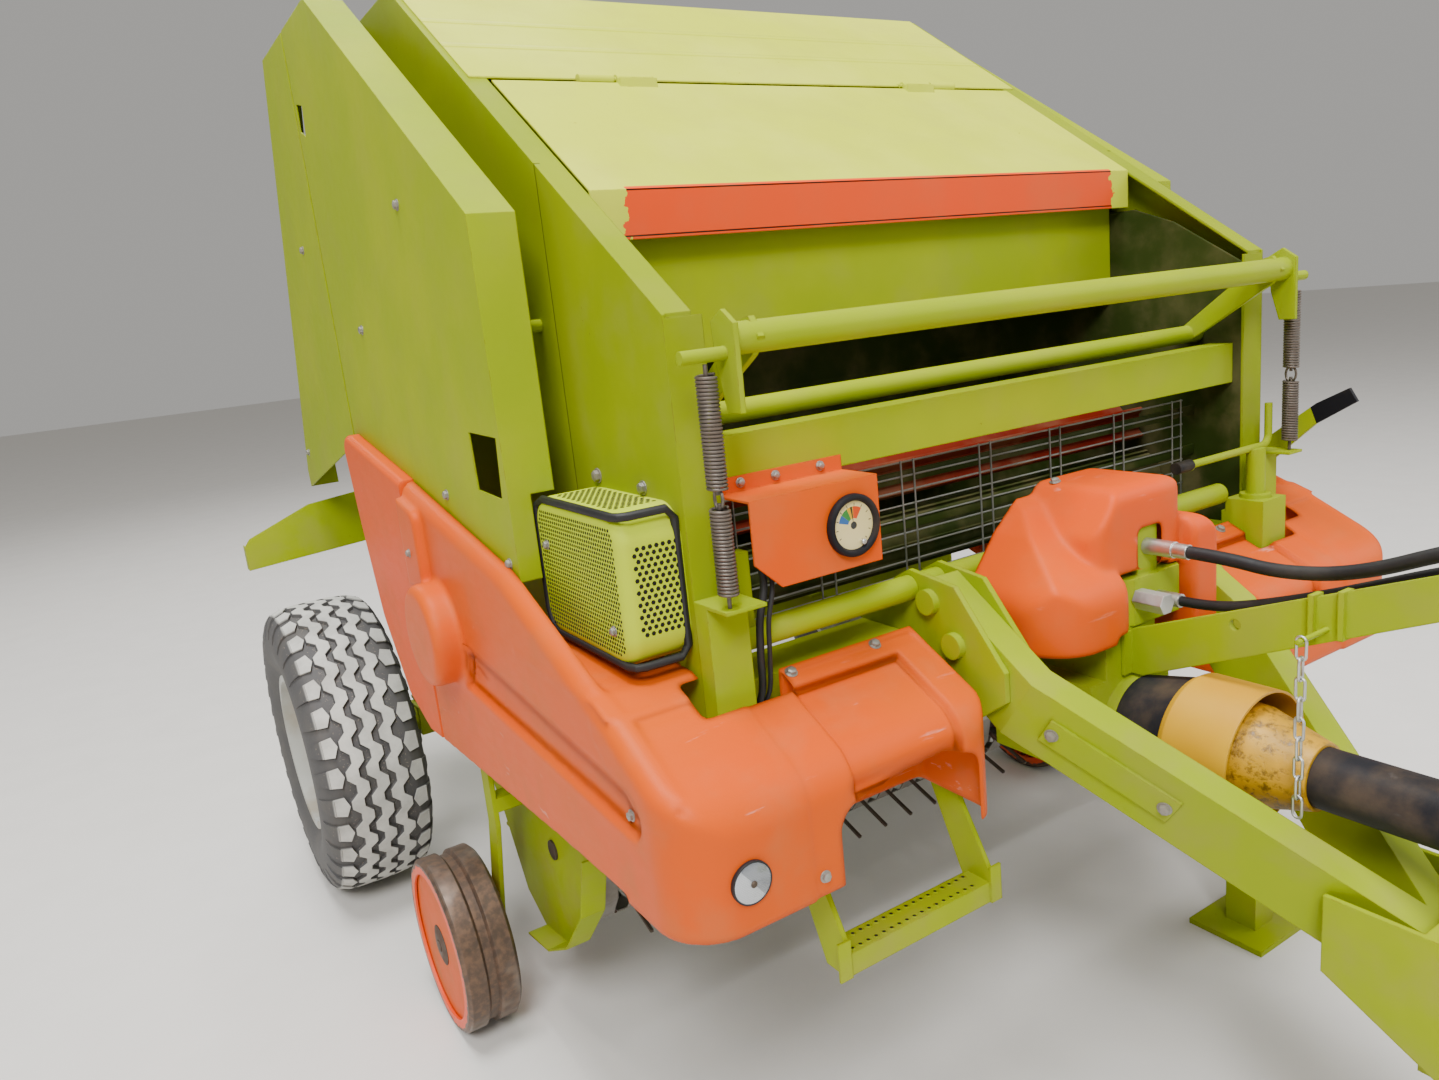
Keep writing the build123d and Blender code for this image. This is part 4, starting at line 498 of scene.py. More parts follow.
@dataclass(frozen=True)
class TyreRubber:
    """Tyre rubber: pale worn tops, dark grooves with grit and a dusty black sidewall."""

    name: str
    dark: Colour = rgb(74, 73, 73)
    top: Colour = rgb(206, 205, 197)
    grit: Colour = rgb(120, 112, 100)

    def material(self) -> bpy.types.Material:
        """Builds the material."""
        sheet = NodeSheet(self.name)
        worn = sheet.add("ShaderNodeAttribute", {"attribute_name": "worn"}, None, "Fac")
        cloud = sheet.noise(14.0, 4.0)
        fine = sheet.noise(160.0, 3.0)
        film = (cloud.ramp(0.42, 0.72) * 0.45).smallest(1.0)
        base = sheet.blend(film, self.dark, rgb(92, 88, 82))
        stones = sheet.noise(210.0, 2.0).ramp(0.60, 0.70) * worn.above(0.1) * worn.below(0.45)
        base = sheet.blend(stones, base, self.grit)
        tops = sheet.blend(cloud.ramp(0.3, 0.75), self.top, rgb(172, 171, 165))
        mask = worn.ramp(0.6, 1.0) * (0.82 + fine * 0.18)
        base = sheet.blend(mask, base, tops)
        rough = fine * 0.15 + 0.6 + mask * 0.2
        normal = sheet.bump(fine, 0.25, 0.0015)
        return sheet.finish(base, rough, 0.0, normal)


@dataclass(frozen=True)
class GaugeWheelSteel:
    """Gauge wheel: orange dished disc chipped at its edge, inside a worn dark steel rim."""

    name: str
    disc: Colour = rgb(232, 72, 14)
    rim: Colour = rgb(84, 70, 60)
    bright: Colour = rgb(150, 140, 130)
    edge_radius: float = 0.166

    def material(self) -> bpy.types.Material:
        """Builds the material."""
        sheet = NodeSheet(self.name)
        radius = (sheet.behind() - GAUGE_WHEEL[1]).hypot(sheet.height() - GAUGE_WHEEL[2])
        fine = sheet.noise(70.0, 4.0)
        torn = (sheet.noise(55.0, 4.0) - 0.5) * 0.022
        orange = (radius + torn).below(self.edge_radius)
        steel = sheet.blend(fine.ramp(0.35, 0.7), self.rim, rgb(112, 88, 70))
        polish = sheet.noise(9.0, 3.0).ramp(0.45, 0.7) * radius.above(0.177)
        steel = sheet.blend(polish * 0.7, steel, self.bright)
        paint = sheet.blend(sheet.noise(6.0, 3.0).ramp(0.4, 0.7), self.disc, rgb(214, 92, 40))
        base = sheet.blend(orange, steel, paint)
        metal = (1.0 - orange) * (0.5 + polish * 0.4)
        rough = fine * 0.2 + 0.38 + orange * 0.02 - polish * 0.1
        return sheet.finish(base, rough, metal, sheet.bump(fine, 0.3, 0.0015, 0.002))


@dataclass(frozen=True)
class GreasyGuard:
    """Yellow shaft guard: clean bell, and a cone blackened by grease where the joint turns."""

    name: str
    clean: Colour = rgb(196, 142, 0)
    faded: Colour = rgb(198, 150, 6)
    grease: Colour = rgb(66, 44, 8)

    def material(self) -> bpy.types.Material:
        """Builds the material."""
        sheet = NodeSheet(self.name)
        ym = sheet.behind()
        base = sheet.blend(sheet.noise(5.0, 3.0).ramp(0.4, 0.7), self.clean, self.faded)
        cone = sheet.across().hypot(sheet.height() - SHAFT_Z).below(0.090)
        near = 1.0 - (ym + 0.430).absolute().ramp(0.02, 0.08)
        dirt = sheet.noise(70.0, 6.0, 0.7).ramp(0.44, 0.66) * cone * (0.3 + near * 0.5)
        smear = sheet.noise(8.0, 4.0).ramp(0.5, 0.75) * 0.35
        mask = dirt.largest(smear).smallest(1.0)
        base = sheet.blend(mask, base, self.grease)
        ribs = (1.0 - ((ym * 62.8).sine()).ramp(0.6, 1.0)) * cone * 0.12
        rough = sheet.noise(60.0, 3.0) * 0.15 + 0.42 - dirt * 0.15
        normal = sheet.bump(ribs - dirt * 0.1, 1.0, 0.004, 0.003)
        return sheet.finish(base, rough, 0.0, normal)


@dataclass(frozen=True)
class DialFace:
    """Cream dial with coloured sectors in its upper half, ticks and a dark needle."""

    name: str

    def material(self) -> bpy.types.Material:
        """Builds the material."""
        sheet = NodeSheet(self.name)
        dx, dz = sheet.across() - DIAL[0], sheet.height() - DIAL[1]
        radius = dx.hypot(dz)
        angle = dx.turn(dz)
        ring = sheet.window(radius, 0.010, 0.027, 0.0003)
        base = sheet.blend(sheet.noise(30.0, 3.0) * 0.5, rgb(222, 204, 142), rgb(200, 184, 124))
        for low, high, shade in (
            (-1.30, -0.85, rgb(10, 84, 150)), (-0.85, -0.40, rgb(30, 120, 40)),
            (-0.40, 0.02, rgb(206, 160, 0)), (0.02, 0.60, rgb(206, 60, 0)),
        ):
            base = sheet.blend(sheet.window(angle, low, high, 0.01) * ring, base, shade)
        ticks = (angle * 14.0).sine().above(0.96) * sheet.window(radius, 0.0275, 0.0315, 0.0002)
        ticks = ticks * angle.absolute().below(2.4)
        base = sheet.blend(ticks, base, rgb(20, 20, 24))
        needle = (angle + 0.1).absolute().below(0.07) * radius.below(0.027) * radius.above(0.003)
        hub = radius.below(0.0055)
        base = sheet.blend(needle.largest(hub), base, rgb(24, 24, 28))
        return sheet.finish(base, 0.25, 0.0, None, 0.6)


@dataclass(frozen=True)
class PrismGlass:
    """Round reflector: silver prisms, one half painted lighter than the other as a painted reflection."""

    name: str

    def material(self) -> bpy.types.Material:
        """Builds the material."""
        sheet = NodeSheet(self.name)
        dx, dz = sheet.across().absolute() - REFLECTOR[0], sheet.height() - REFLECTOR[1]
        # painted reflection: one half of the glass gets a lighter grey than the other
        half = (dx * 0.8 - dz * 0.6).ramp(-0.0008, 0.0008)
        cells = ((dx * 1900.0).sine() * (dz * 1900.0).sine()).ramp(-0.4, 0.4)
        base = sheet.blend(half, rgb(142, 146, 152), rgb(196, 200, 204))
        base = sheet.blend(cells * 0.35, base, rgb(96, 100, 106))
        return sheet.finish(base, 0.22, 0.45, sheet.bump(cells, 0.4, 0.001), 0.8)


class Finish(Enum):
    """The machine's finishes."""

    LIME = Paint("lime_paint", rgb(142, 160, 0), rgb(152, 166, 4), 0.3)
    WALL = WallPaint("wall_paint", rgb(132, 148, 0), rgb(140, 154, 2), 0.3)
    # painted light: hood and top cover get a lighter copy of the lime paint, standing in for light falling on the top
    # surfaces
    HOOD = HoodPaint("hood_paint", rgb(192, 202, 40), rgb(200, 208, 62), 0.3)
    RIDGE = RidgePaint("ridge_paint", rgb(192, 202, 40), rgb(200, 208, 62), 0.3)
    MESHBOX = Paint("box_paint", rgb(180, 200, 20), rgb(190, 206, 44), 0.32)
    LEVER = CappedPaint("lever_paint", rgb(142, 160, 0), rgb(152, 166, 4), 0.3, way=(0.0, -1.0, 0.4), limit=0.516)
    CRANK = CappedPaint("jack_paint", rgb(142, 160, 0), rgb(152, 166, 4), 0.3, way=(-1.0, 0.0, 0.6), limit=0.2405)
    # painted shade: a darker copy of the lime paint for the walls, sheets, straps and roller inside the machine
    SHADED_LIME = Paint("shaded_lime_paint", rgb(40, 52, 16), rgb(52, 62, 24), 0.4, 0.35, 0.5)
    ORANGE = Paint("orange_paint", rgb(220, 80, 0), rgb(214, 86, 0), 0.32, 0.6)
    RED = Paint("red_slat_paint", rgb(110, 18, 10), rgb(126, 42, 22), 0.45, 0.7, 0.6)
    WHITE = Paint("silver_paint", rgb(196, 198, 194), rgb(176, 176, 168), 0.35, 0.35, 0.5)
    SHELL = Moulding("orange_moulding", rgb(222, 76, 0), rgb(218, 82, 0), 0.34, rounding=0.008)
    COVER = CoverMoulding("cover_moulding", rgb(214, 80, 0), rgb(208, 85, 0), 0.34, rounding=0.012)
    YELLOW = GreasyGuard("yellow_guard")
    BLACK = Moulding("black_moulding", rgb(22, 22, 26), rgb(36, 36, 40), 0.42, 0.25, 0.2)
    STEEL = Steel("worn_steel", rgb(150, 146, 140), rgb(84, 66, 50))
    ZINC = Steel("plated_steel", rgb(205, 206, 204), rgb(130, 118, 96), 0.3, 0.35)
    BOLT = Steel("bolt_steel", rgb(168, 166, 160), rgb(112, 98, 74), 0.4, 0.6)
    WIRE = Steel("wire_steel", rgb(150, 152, 148), rgb(96, 84, 66), 0.35, 0.5)
    GROUND = Steel("tine_steel", rgb(96, 86, 76), rgb(74, 48, 32), 0.45, 0.8)
    GAUGE_WHEEL = GaugeWheelSteel("gauge_wheel_steel")
    DIAL = DialFace("dial_face")
    REFLECTOR = PrismGlass("reflector_glass")
    TYRE = TyreRubber("tyre_rubber")
    SPRING = Steel("spring_steel", rgb(120, 112, 104), rgb(84, 66, 50), 0.4, 0.7)
    TRIM = Rubber("trim_rubber", rgb(14, 14, 17), rgb(60, 56, 50), 0.5, 0.2)
    SHADE = Rubber("hole_shadow", rgb(12, 14, 6), rgb(24, 26, 10), 0.9, 0.2)
    HOSE = Rubber("hose_rubber", rgb(18, 18, 22), rgb(78, 74, 66), 0.5, 0.3)


class Wardrobe:
    """Makes each finish once and puts it on pieces."""

    def __init__(self) -> None:
        """Starts with no material made."""
        self.made: dict[Finish, bpy.types.Material] = {}

    def get(self, finish: Finish) -> bpy.types.Material:
        """Returns the material of a finish, made on first use."""
        if finish not in self.made:
            self.made[finish] = finish.value.material()
        return self.made[finish]

    def dress(self, piece: bpy.types.Object, finish: Finish) -> None:
        """Gives a piece one finish all over."""
        material = self.get(finish)
        if piece.data.materials:
            for place in range(len(piece.data.materials)):
                piece.data.materials[place] = material
        else:
            piece.data.materials.append(material)

    def settle(self, name: str, mesh: bmesh.types.BMesh, finish: Finish, body: str = "frame",
               node: str | None = None, smooth_below: float = 0.6) -> None:
        """Turns a mesh into a finished piece that rides on its body.

        Args:
            name: The piece's name.
            mesh: Its bmesh, which is freed.
            finish: Its finish.
            body: CAD body it rides on.
            node: CAD node whose place it takes, if any.
            smooth_below: Edges flatter than this angle in radians are smooth.
        """
        piece = finish_mesh(name, mesh, smooth_below)
        self.dress(piece, finish)
        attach(piece, body)
        if node is not None:
            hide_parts(node)
        LOG.info("%s: %d faces", name, len(piece.data.polygons))


NODE_FINISH = {name: finish for finish, names in (
    (Finish.LIME, "twine_bay front_beam cross_beam cross_tube axle_beam tension_frame spring_anchors gearbox "
                  "drawbar_bars drawbar_brackets drawbar_head hose_support hydraulic_pump jack_leg right_step "
                  "front_guards rear_guards lamp_wings pickup_frame tailgate_sheet tailgate_barrel_right "
                  "tailgate_barrel_left"),
    # painted shade: the parts inside the machine get the darker copy of the lime paint
    (Finish.SHADED_LIME, "chamber_walls chamber_sheets tailgate_walls feed_roller"),
    (Finish.WALL, "side_walls"),
    # painted light: the top-facing hood and top cover carry the lighter copy of the lime
    (Finish.HOOD, "hood"),
    (Finish.RIDGE, "top_cover"),
    (Finish.MESHBOX, "side_box"),
    (Finish.LEVER, "side_lever"),
    (Finish.CRANK, "jack_housing"),
    (Finish.ORANGE, "gauge_bracket"),
    (Finish.RED, "slat_roller"),
    (Finish.WHITE, "rim_right rim_left"),
    (Finish.SHELL, "drive_covers rear_covers"),
    (Finish.COVER, "cover_right cover_left"),
    (Finish.YELLOW, "pto_rear_guard"),
    (Finish.BLACK, "pto_shield pto_tube pressure_gauge"),
    (Finish.STEEL, "pto_shaft pickup_bands"),
    (Finish.ZINC, "tension_springs tailgate_rod_right tailgate_rod_left hose_fittings support_chain"),
    (Finish.WIRE, "mesh_guard"),
    (Finish.GROUND, "pickup_reel"),
    (Finish.GAUGE_WHEEL, "gauge_wheel_right gauge_wheel_left"),
    (Finish.TYRE, "tyre_right tyre_left"),
    (Finish.HOSE, "hose_upper hose_lower"),
) for name in names.split()}


@dataclass
class Hoses:
    """The two pressure hoses, which lie where their solids are."""

    # node, radius, control points
    routes: tuple[tuple[str, float, tuple[Point, ...]], ...] = (
        ("hose_upper", 0.010, (
            (0.052, -0.2563, 0.968), (0.052, -0.316, 0.968), (0.051, -0.396, 0.960), (0.048, -0.500, 0.976),
            (0.043, -0.620, 1.030), (0.034, -0.755, 1.076), (0.026, -0.885, 1.122), (0.026, -0.9897, 1.122),
        )),
        ("hose_lower", 0.008, (
            (0.062, -0.2363, 0.885), (0.062, -0.291, 0.885), (0.066, -0.370, 0.905), (0.067, -0.480, 0.944),
            (0.063, -0.610, 0.999), (0.057, -0.745, 1.036), (0.050, -0.880, 1.085), (0.050, -0.9897, 1.085),
        )),
    )
    share: float = 0.985  # of the way over its control points, which a curve cuts short

    def lay(self, node: str, radius: float, route: tuple[Point, ...], wardrobe: Wardrobe) -> None:
        """Lays one hose along its route.

        Args:
            node: CAD node it stands for.
            radius: The hose's radius.
            route: Control points, with Y behind the walls' front edge.
            wardrobe: Finishes.
        """
        points = [seated(place) for place in route]
        curve = bpy.data.curves.new(node + "_line", "CURVE")
        curve.dimensions = "3D"
        curve.bevel_depth = radius
        curve.bevel_resolution = 5
        curve.use_fill_caps = True
        spline = curve.splines.new("NURBS")
        spline.points.add(len(points) - 1)
        for point, place in zip(spline.points, points):
            point.co = (*place, 1.0)
        spline.order_u = 3
        spline.use_endpoint_u = True
        spline.resolution_u = 12
        curve.materials.append(wardrobe.get(Finish.HOSE))
        piece = linked(node + "_line", curve)
        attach(piece, "frame")
        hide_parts(node)

    def build(self, wardrobe: Wardrobe) -> None:
        """Lays both hoses."""
        for node, radius, route in self.routes:
            self.lay(node, radius, route, wardrobe)
        LOG.info("hoses: %d", len(self.routes))


def linked(name: str, data: bpy.types.ID) -> bpy.types.Object:
    """Makes an object of a mesh, curve, lamp or camera and links it into the scene."""
    made = bpy.data.objects.new(name, data)
    bpy.context.collection.objects.link(made)
    return made


def evaluated(holder: bpy.types.Object) -> bpy.types.Mesh:
    """Plain mesh of what an object's modifiers make of it; the object is removed."""
    bpy.context.view_layer.update()
    mesh = bpy.data.meshes.new_from_object(holder.evaluated_get(bpy.context.evaluated_depsgraph_get()))
    holder.modifiers.clear()
    bpy.data.objects.remove(holder)
    return mesh


class GeoSheet:
    """Builds one Geometry Nodes tree and turns its result into a plain mesh."""

    def __init__(self, name: str, sizes: dict[str, float]) -> None:
        """Starts a tree.

        Args:
            name: The tree's name.
            sizes: Named inputs and their values.
        """
        self.tree = bpy.data.node_groups.new(name, "GeometryNodeTree")
        self.tree.is_modifier = True
        self.sizes = sizes
        self.tree.interface.new_socket("Geometry", in_out="INPUT", socket_type="NodeSocketGeometry")
        self.identifiers: dict[str, str] = {}
        for label in sizes:
            socket = self.tree.interface.new_socket(label, in_out="INPUT", socket_type="NodeSocketFloat")
            self.identifiers[label] = socket.identifier
        self.tree.interface.new_socket("Geometry", in_out="OUTPUT", socket_type="NodeSocketGeometry")
        self.given = self.tree.nodes.new("NodeGroupInput")
        self.result = self.tree.nodes.new("NodeGroupOutput")

    def add(self, kind: str, settings: dict | None = None, inputs: dict | None = None,
            output: int | str = 0) -> bpy.types.NodeSocket:
        """Adds a node and returns one of its outputs."""
        node = self.tree.nodes.new(kind)
        for key, value in (settings or {}).items():
            setattr(node, key, value)
        for key, value in (inputs or {}).items():
            if isinstance(value, bpy.types.NodeSocket):
                self.tree.links.new(value, node.inputs[key])
            else:
                node.inputs[key].default_value = value
        return node.outputs[output]

    def size(self, label: str) -> bpy.types.NodeSocket:
        """The socket of a named input."""
        return self.given.outputs[label]

    def strewn(self, shape: bpy.types.NodeSocket) -> bpy.types.NodeSocket:
        """Sets a shape on every point of the carrier, turned the way that the point faces."""
        way = self.add("GeometryNodeInputNamedAttribute", {"data_type": "FLOAT_VECTOR"}, {"Name": "facing"})
        turn = self.add("FunctionNodeAlignRotationToVector", {"axis": "Z"}, {"Vector": way})
        points = self.given.outputs[0]
        return self.add("GeometryNodeInstanceOnPoints", None, {"Points": points, "Instance": shape, "Rotation": turn})

    def bake(self, name: str, carrier: bpy.types.Mesh, shape: bpy.types.NodeSocket,
             material: bpy.types.Material) -> bpy.types.Object:
        """Ends the tree, evaluates it on a carrier mesh and keeps the plain result.

        Args:
            name: Name of the piece.
            carrier: Mesh that the modifier stands on.
            shape: The geometry to keep.
            material: Its finish.

        Returns:
            The finished piece.
        """
        solid = self.add("GeometryNodeRealizeInstances", None, {0: shape})
        dressed = self.add("GeometryNodeSetMaterial", None, {"Geometry": solid, "Material": material})
        self.tree.links.new(dressed, self.result.inputs[0])
        holder = linked(name + "_holder", carrier)
        modifier = holder.modifiers.new("made", "NODES")
        modifier.node_group = self.tree
        for label, value in self.sizes.items():
            modifier[self.identifiers[label]] = value
        mesh = evaluated(holder)
        mesh.name = name
        if not mesh.materials:
            mesh.materials.append(material)
        LOG.info("%s: %d faces", name, len(mesh.polygons))
        return linked(name, mesh)


def spots(name: str, places: list[tuple[Vector, Vector]]) -> bpy.types.Mesh:
    """Loose points, each with the direction that it faces.

    Args:
        name: The mesh's name.
        places: Pairs of a point and its outward direction.

    Returns:
        A mesh of points with a vector attribute named facing.
    """
    mesh = bpy.data.meshes.new(name)
    mesh.from_pydata([tuple(place) for place, _ in places], [], [])
    facing = mesh.attributes.new("facing", "FLOAT_VECTOR", "POINT")
    for index, (_, way) in enumerate(places):
        facing.data[index].vector = way
    return mesh


def on_surface(nodes: dict[str, bpy.types.Object], carrier: str, start: Point, way: Point) -> tuple[Vector, Vector]:
    """Finds where a line from outside first meets a CAD node.

    Args:
        nodes: CAD nodes.
        carrier: Name of the node that is met.
        start: Point outside, with Y behind the walls' front edge.
        way: Direction to look in.

    Returns:
        The point and the surface's outward direction there.
    """
    mesh = nodes[carrier].data
    faces = [tuple(face.vertices) for face in mesh.polygons]
    tree = BVHTree.FromPolygons([vertex.co for vertex in mesh.vertices], faces)
    place, normal, _, _ = tree.ray_cast(seated(start), Vector(way).normalized())
    if place is None:
        raise ValueError(f"nothing of {carrier} lies on the line from {start}")
    return place, normal if normal.dot(Vector(way)) < 0 else -normal


@dataclass(frozen=True)
class Bolt:
    """A hexagon bolt with its washer."""

    head: float = 0.0085
    height: float = 0.006
    washer: float = 0.0115
    thickness: float = 0.0018

    def plant(self, name: str, places: list[tuple[Vector, Vector]], finish: Finish, body: str,
              wardrobe: Wardrobe) -> None:
        """Puts a bolt on every place.

        Args:
            name: Name of the piece.
            places: Points with the directions they face.
            finish: The bolts' finish.
            body: CAD body they ride on.
            wardrobe: Finishes.
        """
        sheet = GeoSheet(name + "_tree", {
            "Head": self.head, "Height": self.height, "Washer": self.washer, "Thickness": self.thickness,
        })
        settings = {"fill_type": "NGON"}
        washer = sheet.add("GeometryNodeMeshCylinder", settings, {
            "Vertices": 16, "Radius": sheet.size("Washer"), "Depth": sheet.size("Thickness"),
        })
        head = sheet.add("GeometryNodeMeshCylinder", settings, {
            "Vertices": 6, "Radius": sheet.size("Head"), "Depth": sheet.size("Height"),
        })
        crown = sheet.add("GeometryNodeMeshCone", settings, {
            "Vertices": 12, "Radius Bottom": self.head * 0.84, "Radius Top": self.head * 0.55, "Depth": 0.0012,
        })
        lift = self.thickness / 2 + self.height / 2
        head = sheet.add("GeometryNodeTransform", None, {"Geometry": head, "Translation": (0.0, 0.0, lift)})
        top = self.thickness / 2 + self.height - 0.0001
        crown = sheet.add("GeometryNodeTransform", None, {"Geometry": crown, "Translation": (0.0, 0.0, top)})
        join = sheet.tree.nodes.new("GeometryNodeJoinGeometry")
        for part in (washer, head, crown):
            sheet.tree.links.new(part, join.inputs[0])
        lifted = [(place + way * (self.thickness * 0.3), way) for place, way in places]
        piece = sheet.bake(name, spots(name, lifted), sheet.strewn(join.outputs[0]), wardrobe.get(finish))
        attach(piece, body)


@dataclass
class DensitySprings:
    """The four coil springs that pull the density frame down, with their hooks."""

    reach_x: float = 0.650
    ym: float = -0.068
    coils: tuple[tuple[float, float, int], ...] = ((1.035, 1.150, 24), (1.175, 1.320, 30))
    radius: float = 0.0125
    wire: float = 0.0023

    def coil(self, name: str, side: int, low: float, high: float, turns: int, wardrobe: Wardrobe) -> bpy.types.Object:
        """Winds one close coil.

        Args:
            name: Name of the piece.
            side: Side of the machine.
            low: Height of its lower end.
            high: Height of its upper end.
            turns: Number of turns.
            wardrobe: Finishes.

        Returns:
            The coil.
        """
        sheet = GeoSheet(name + "_tree", {
            "Turns": float(turns), "Radius": self.radius, "Length": high - low, "Wire": self.wire,
        })
        line = sheet.add("GeometryNodeCurveSpiral", None, {
            "Resolution": 14, "Rotations": sheet.size("Turns"), "Start Radius": sheet.size("Radius"),
            "End Radius": sheet.size("Radius"), "Height": sheet.size("Length"),
        })
        ring = sheet.add("GeometryNodeCurvePrimitiveCircle", None, {"Resolution": 6, "Radius": sheet.size("Wire")})
        tube = sheet.add("GeometryNodeCurveToMesh", None, {"Curve": line, "Profile Curve": ring, "Fill Caps": True})
        where = (side * self.reach_x, back(self.ym), low)
        placed = sheet.add("GeometryNodeTransform", None, {"Geometry": tube, "Translation": where})
        piece = sheet.bake(name, spots(name, [(Vector((0, 0, 0)), Vector((0, 0, 1)))]), placed,
                           wardrobe.get(Finish.SPRING))
        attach(piece, "frame")
        return piece

    def hooks(self, side: int, wardrobe: Wardrobe) -> None:
        """Makes the straight ends and the loop between the two coils of one side."""
        mesh = bmesh.new()
        x, y = side * self.reach_x, back(self.ym)
        loop = [(x, y - 0.010 * math.cos(turn), 1.1625 + 0.0145 * math.sin(turn))
                for turn in (math.pi * step / 6 for step in range(12))]
        tube(mesh, [Vector(place) for place in loop], self.wire, True)
        for low, high in ((1.0163, 1.037), (1.319, 1.3335), (1.1485, 1.157), (1.168, 1.1765)):
            tube(mesh, [Vector((x, y, low)), Vector((x, y, high))], self.wire * 1.3)
        wardrobe.settle("spring_hooks_left" if side > 0 else "spring_hooks_right", mesh, Finish.SPRING)

    def build(self, wardrobe: Wardrobe) -> None:
        """Winds the springs of both sides."""
        for side in (1, -1):
            for low, high, turns in self.coils:
                name = f"spring_coil_{'left' if side > 0 else 'right'}_{int(low * 1000)}"
                coil = self.coil(name, side, low, high, turns, wardrobe)
                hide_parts("tension_springs")
            self.hooks(side, wardrobe)


def tube(mesh: bmesh.types.BMesh, line: list[Vector], radius: float, closed: bool = False, sides: int = 8) -> None:
    """Adds a round rod along a line.

    Args:
        mesh: Mesh to add to.
        line: Points of its middle line.
        radius: Its radius.
        closed: True for a ring.
        sides: Number of sides of its section.
    """
    count = len(line)
    rings = []
    side = None
    for index, place in enumerate(line):
        after = line[(index + 1) % count] if closed or index + 1 < count else place
        before = line[index - 1] if closed or index > 0 else place
        way = (after - before).normalized()
        if side is None:
            side = way.orthogonal().normalized()
        side = (side - way * side.dot(way)).normalized()
        other = way.cross(side)
        rings.append([mesh.verts.new(place + radius * (math.cos(turn) * side + math.sin(turn) * other))
                      for turn in angles(sides)])
    for index in range(count if closed else count - 1):
        first, second = rings[index], rings[(index + 1) % count]
        for place in range(sides):
            nearby = (place + 1) % sides
            mesh.faces.new((first[place], first[nearby], second[nearby], second[place]))
    if not closed:
        mesh.faces.new(list(reversed(rings[0])))
        mesh.faces.new(rings[-1])


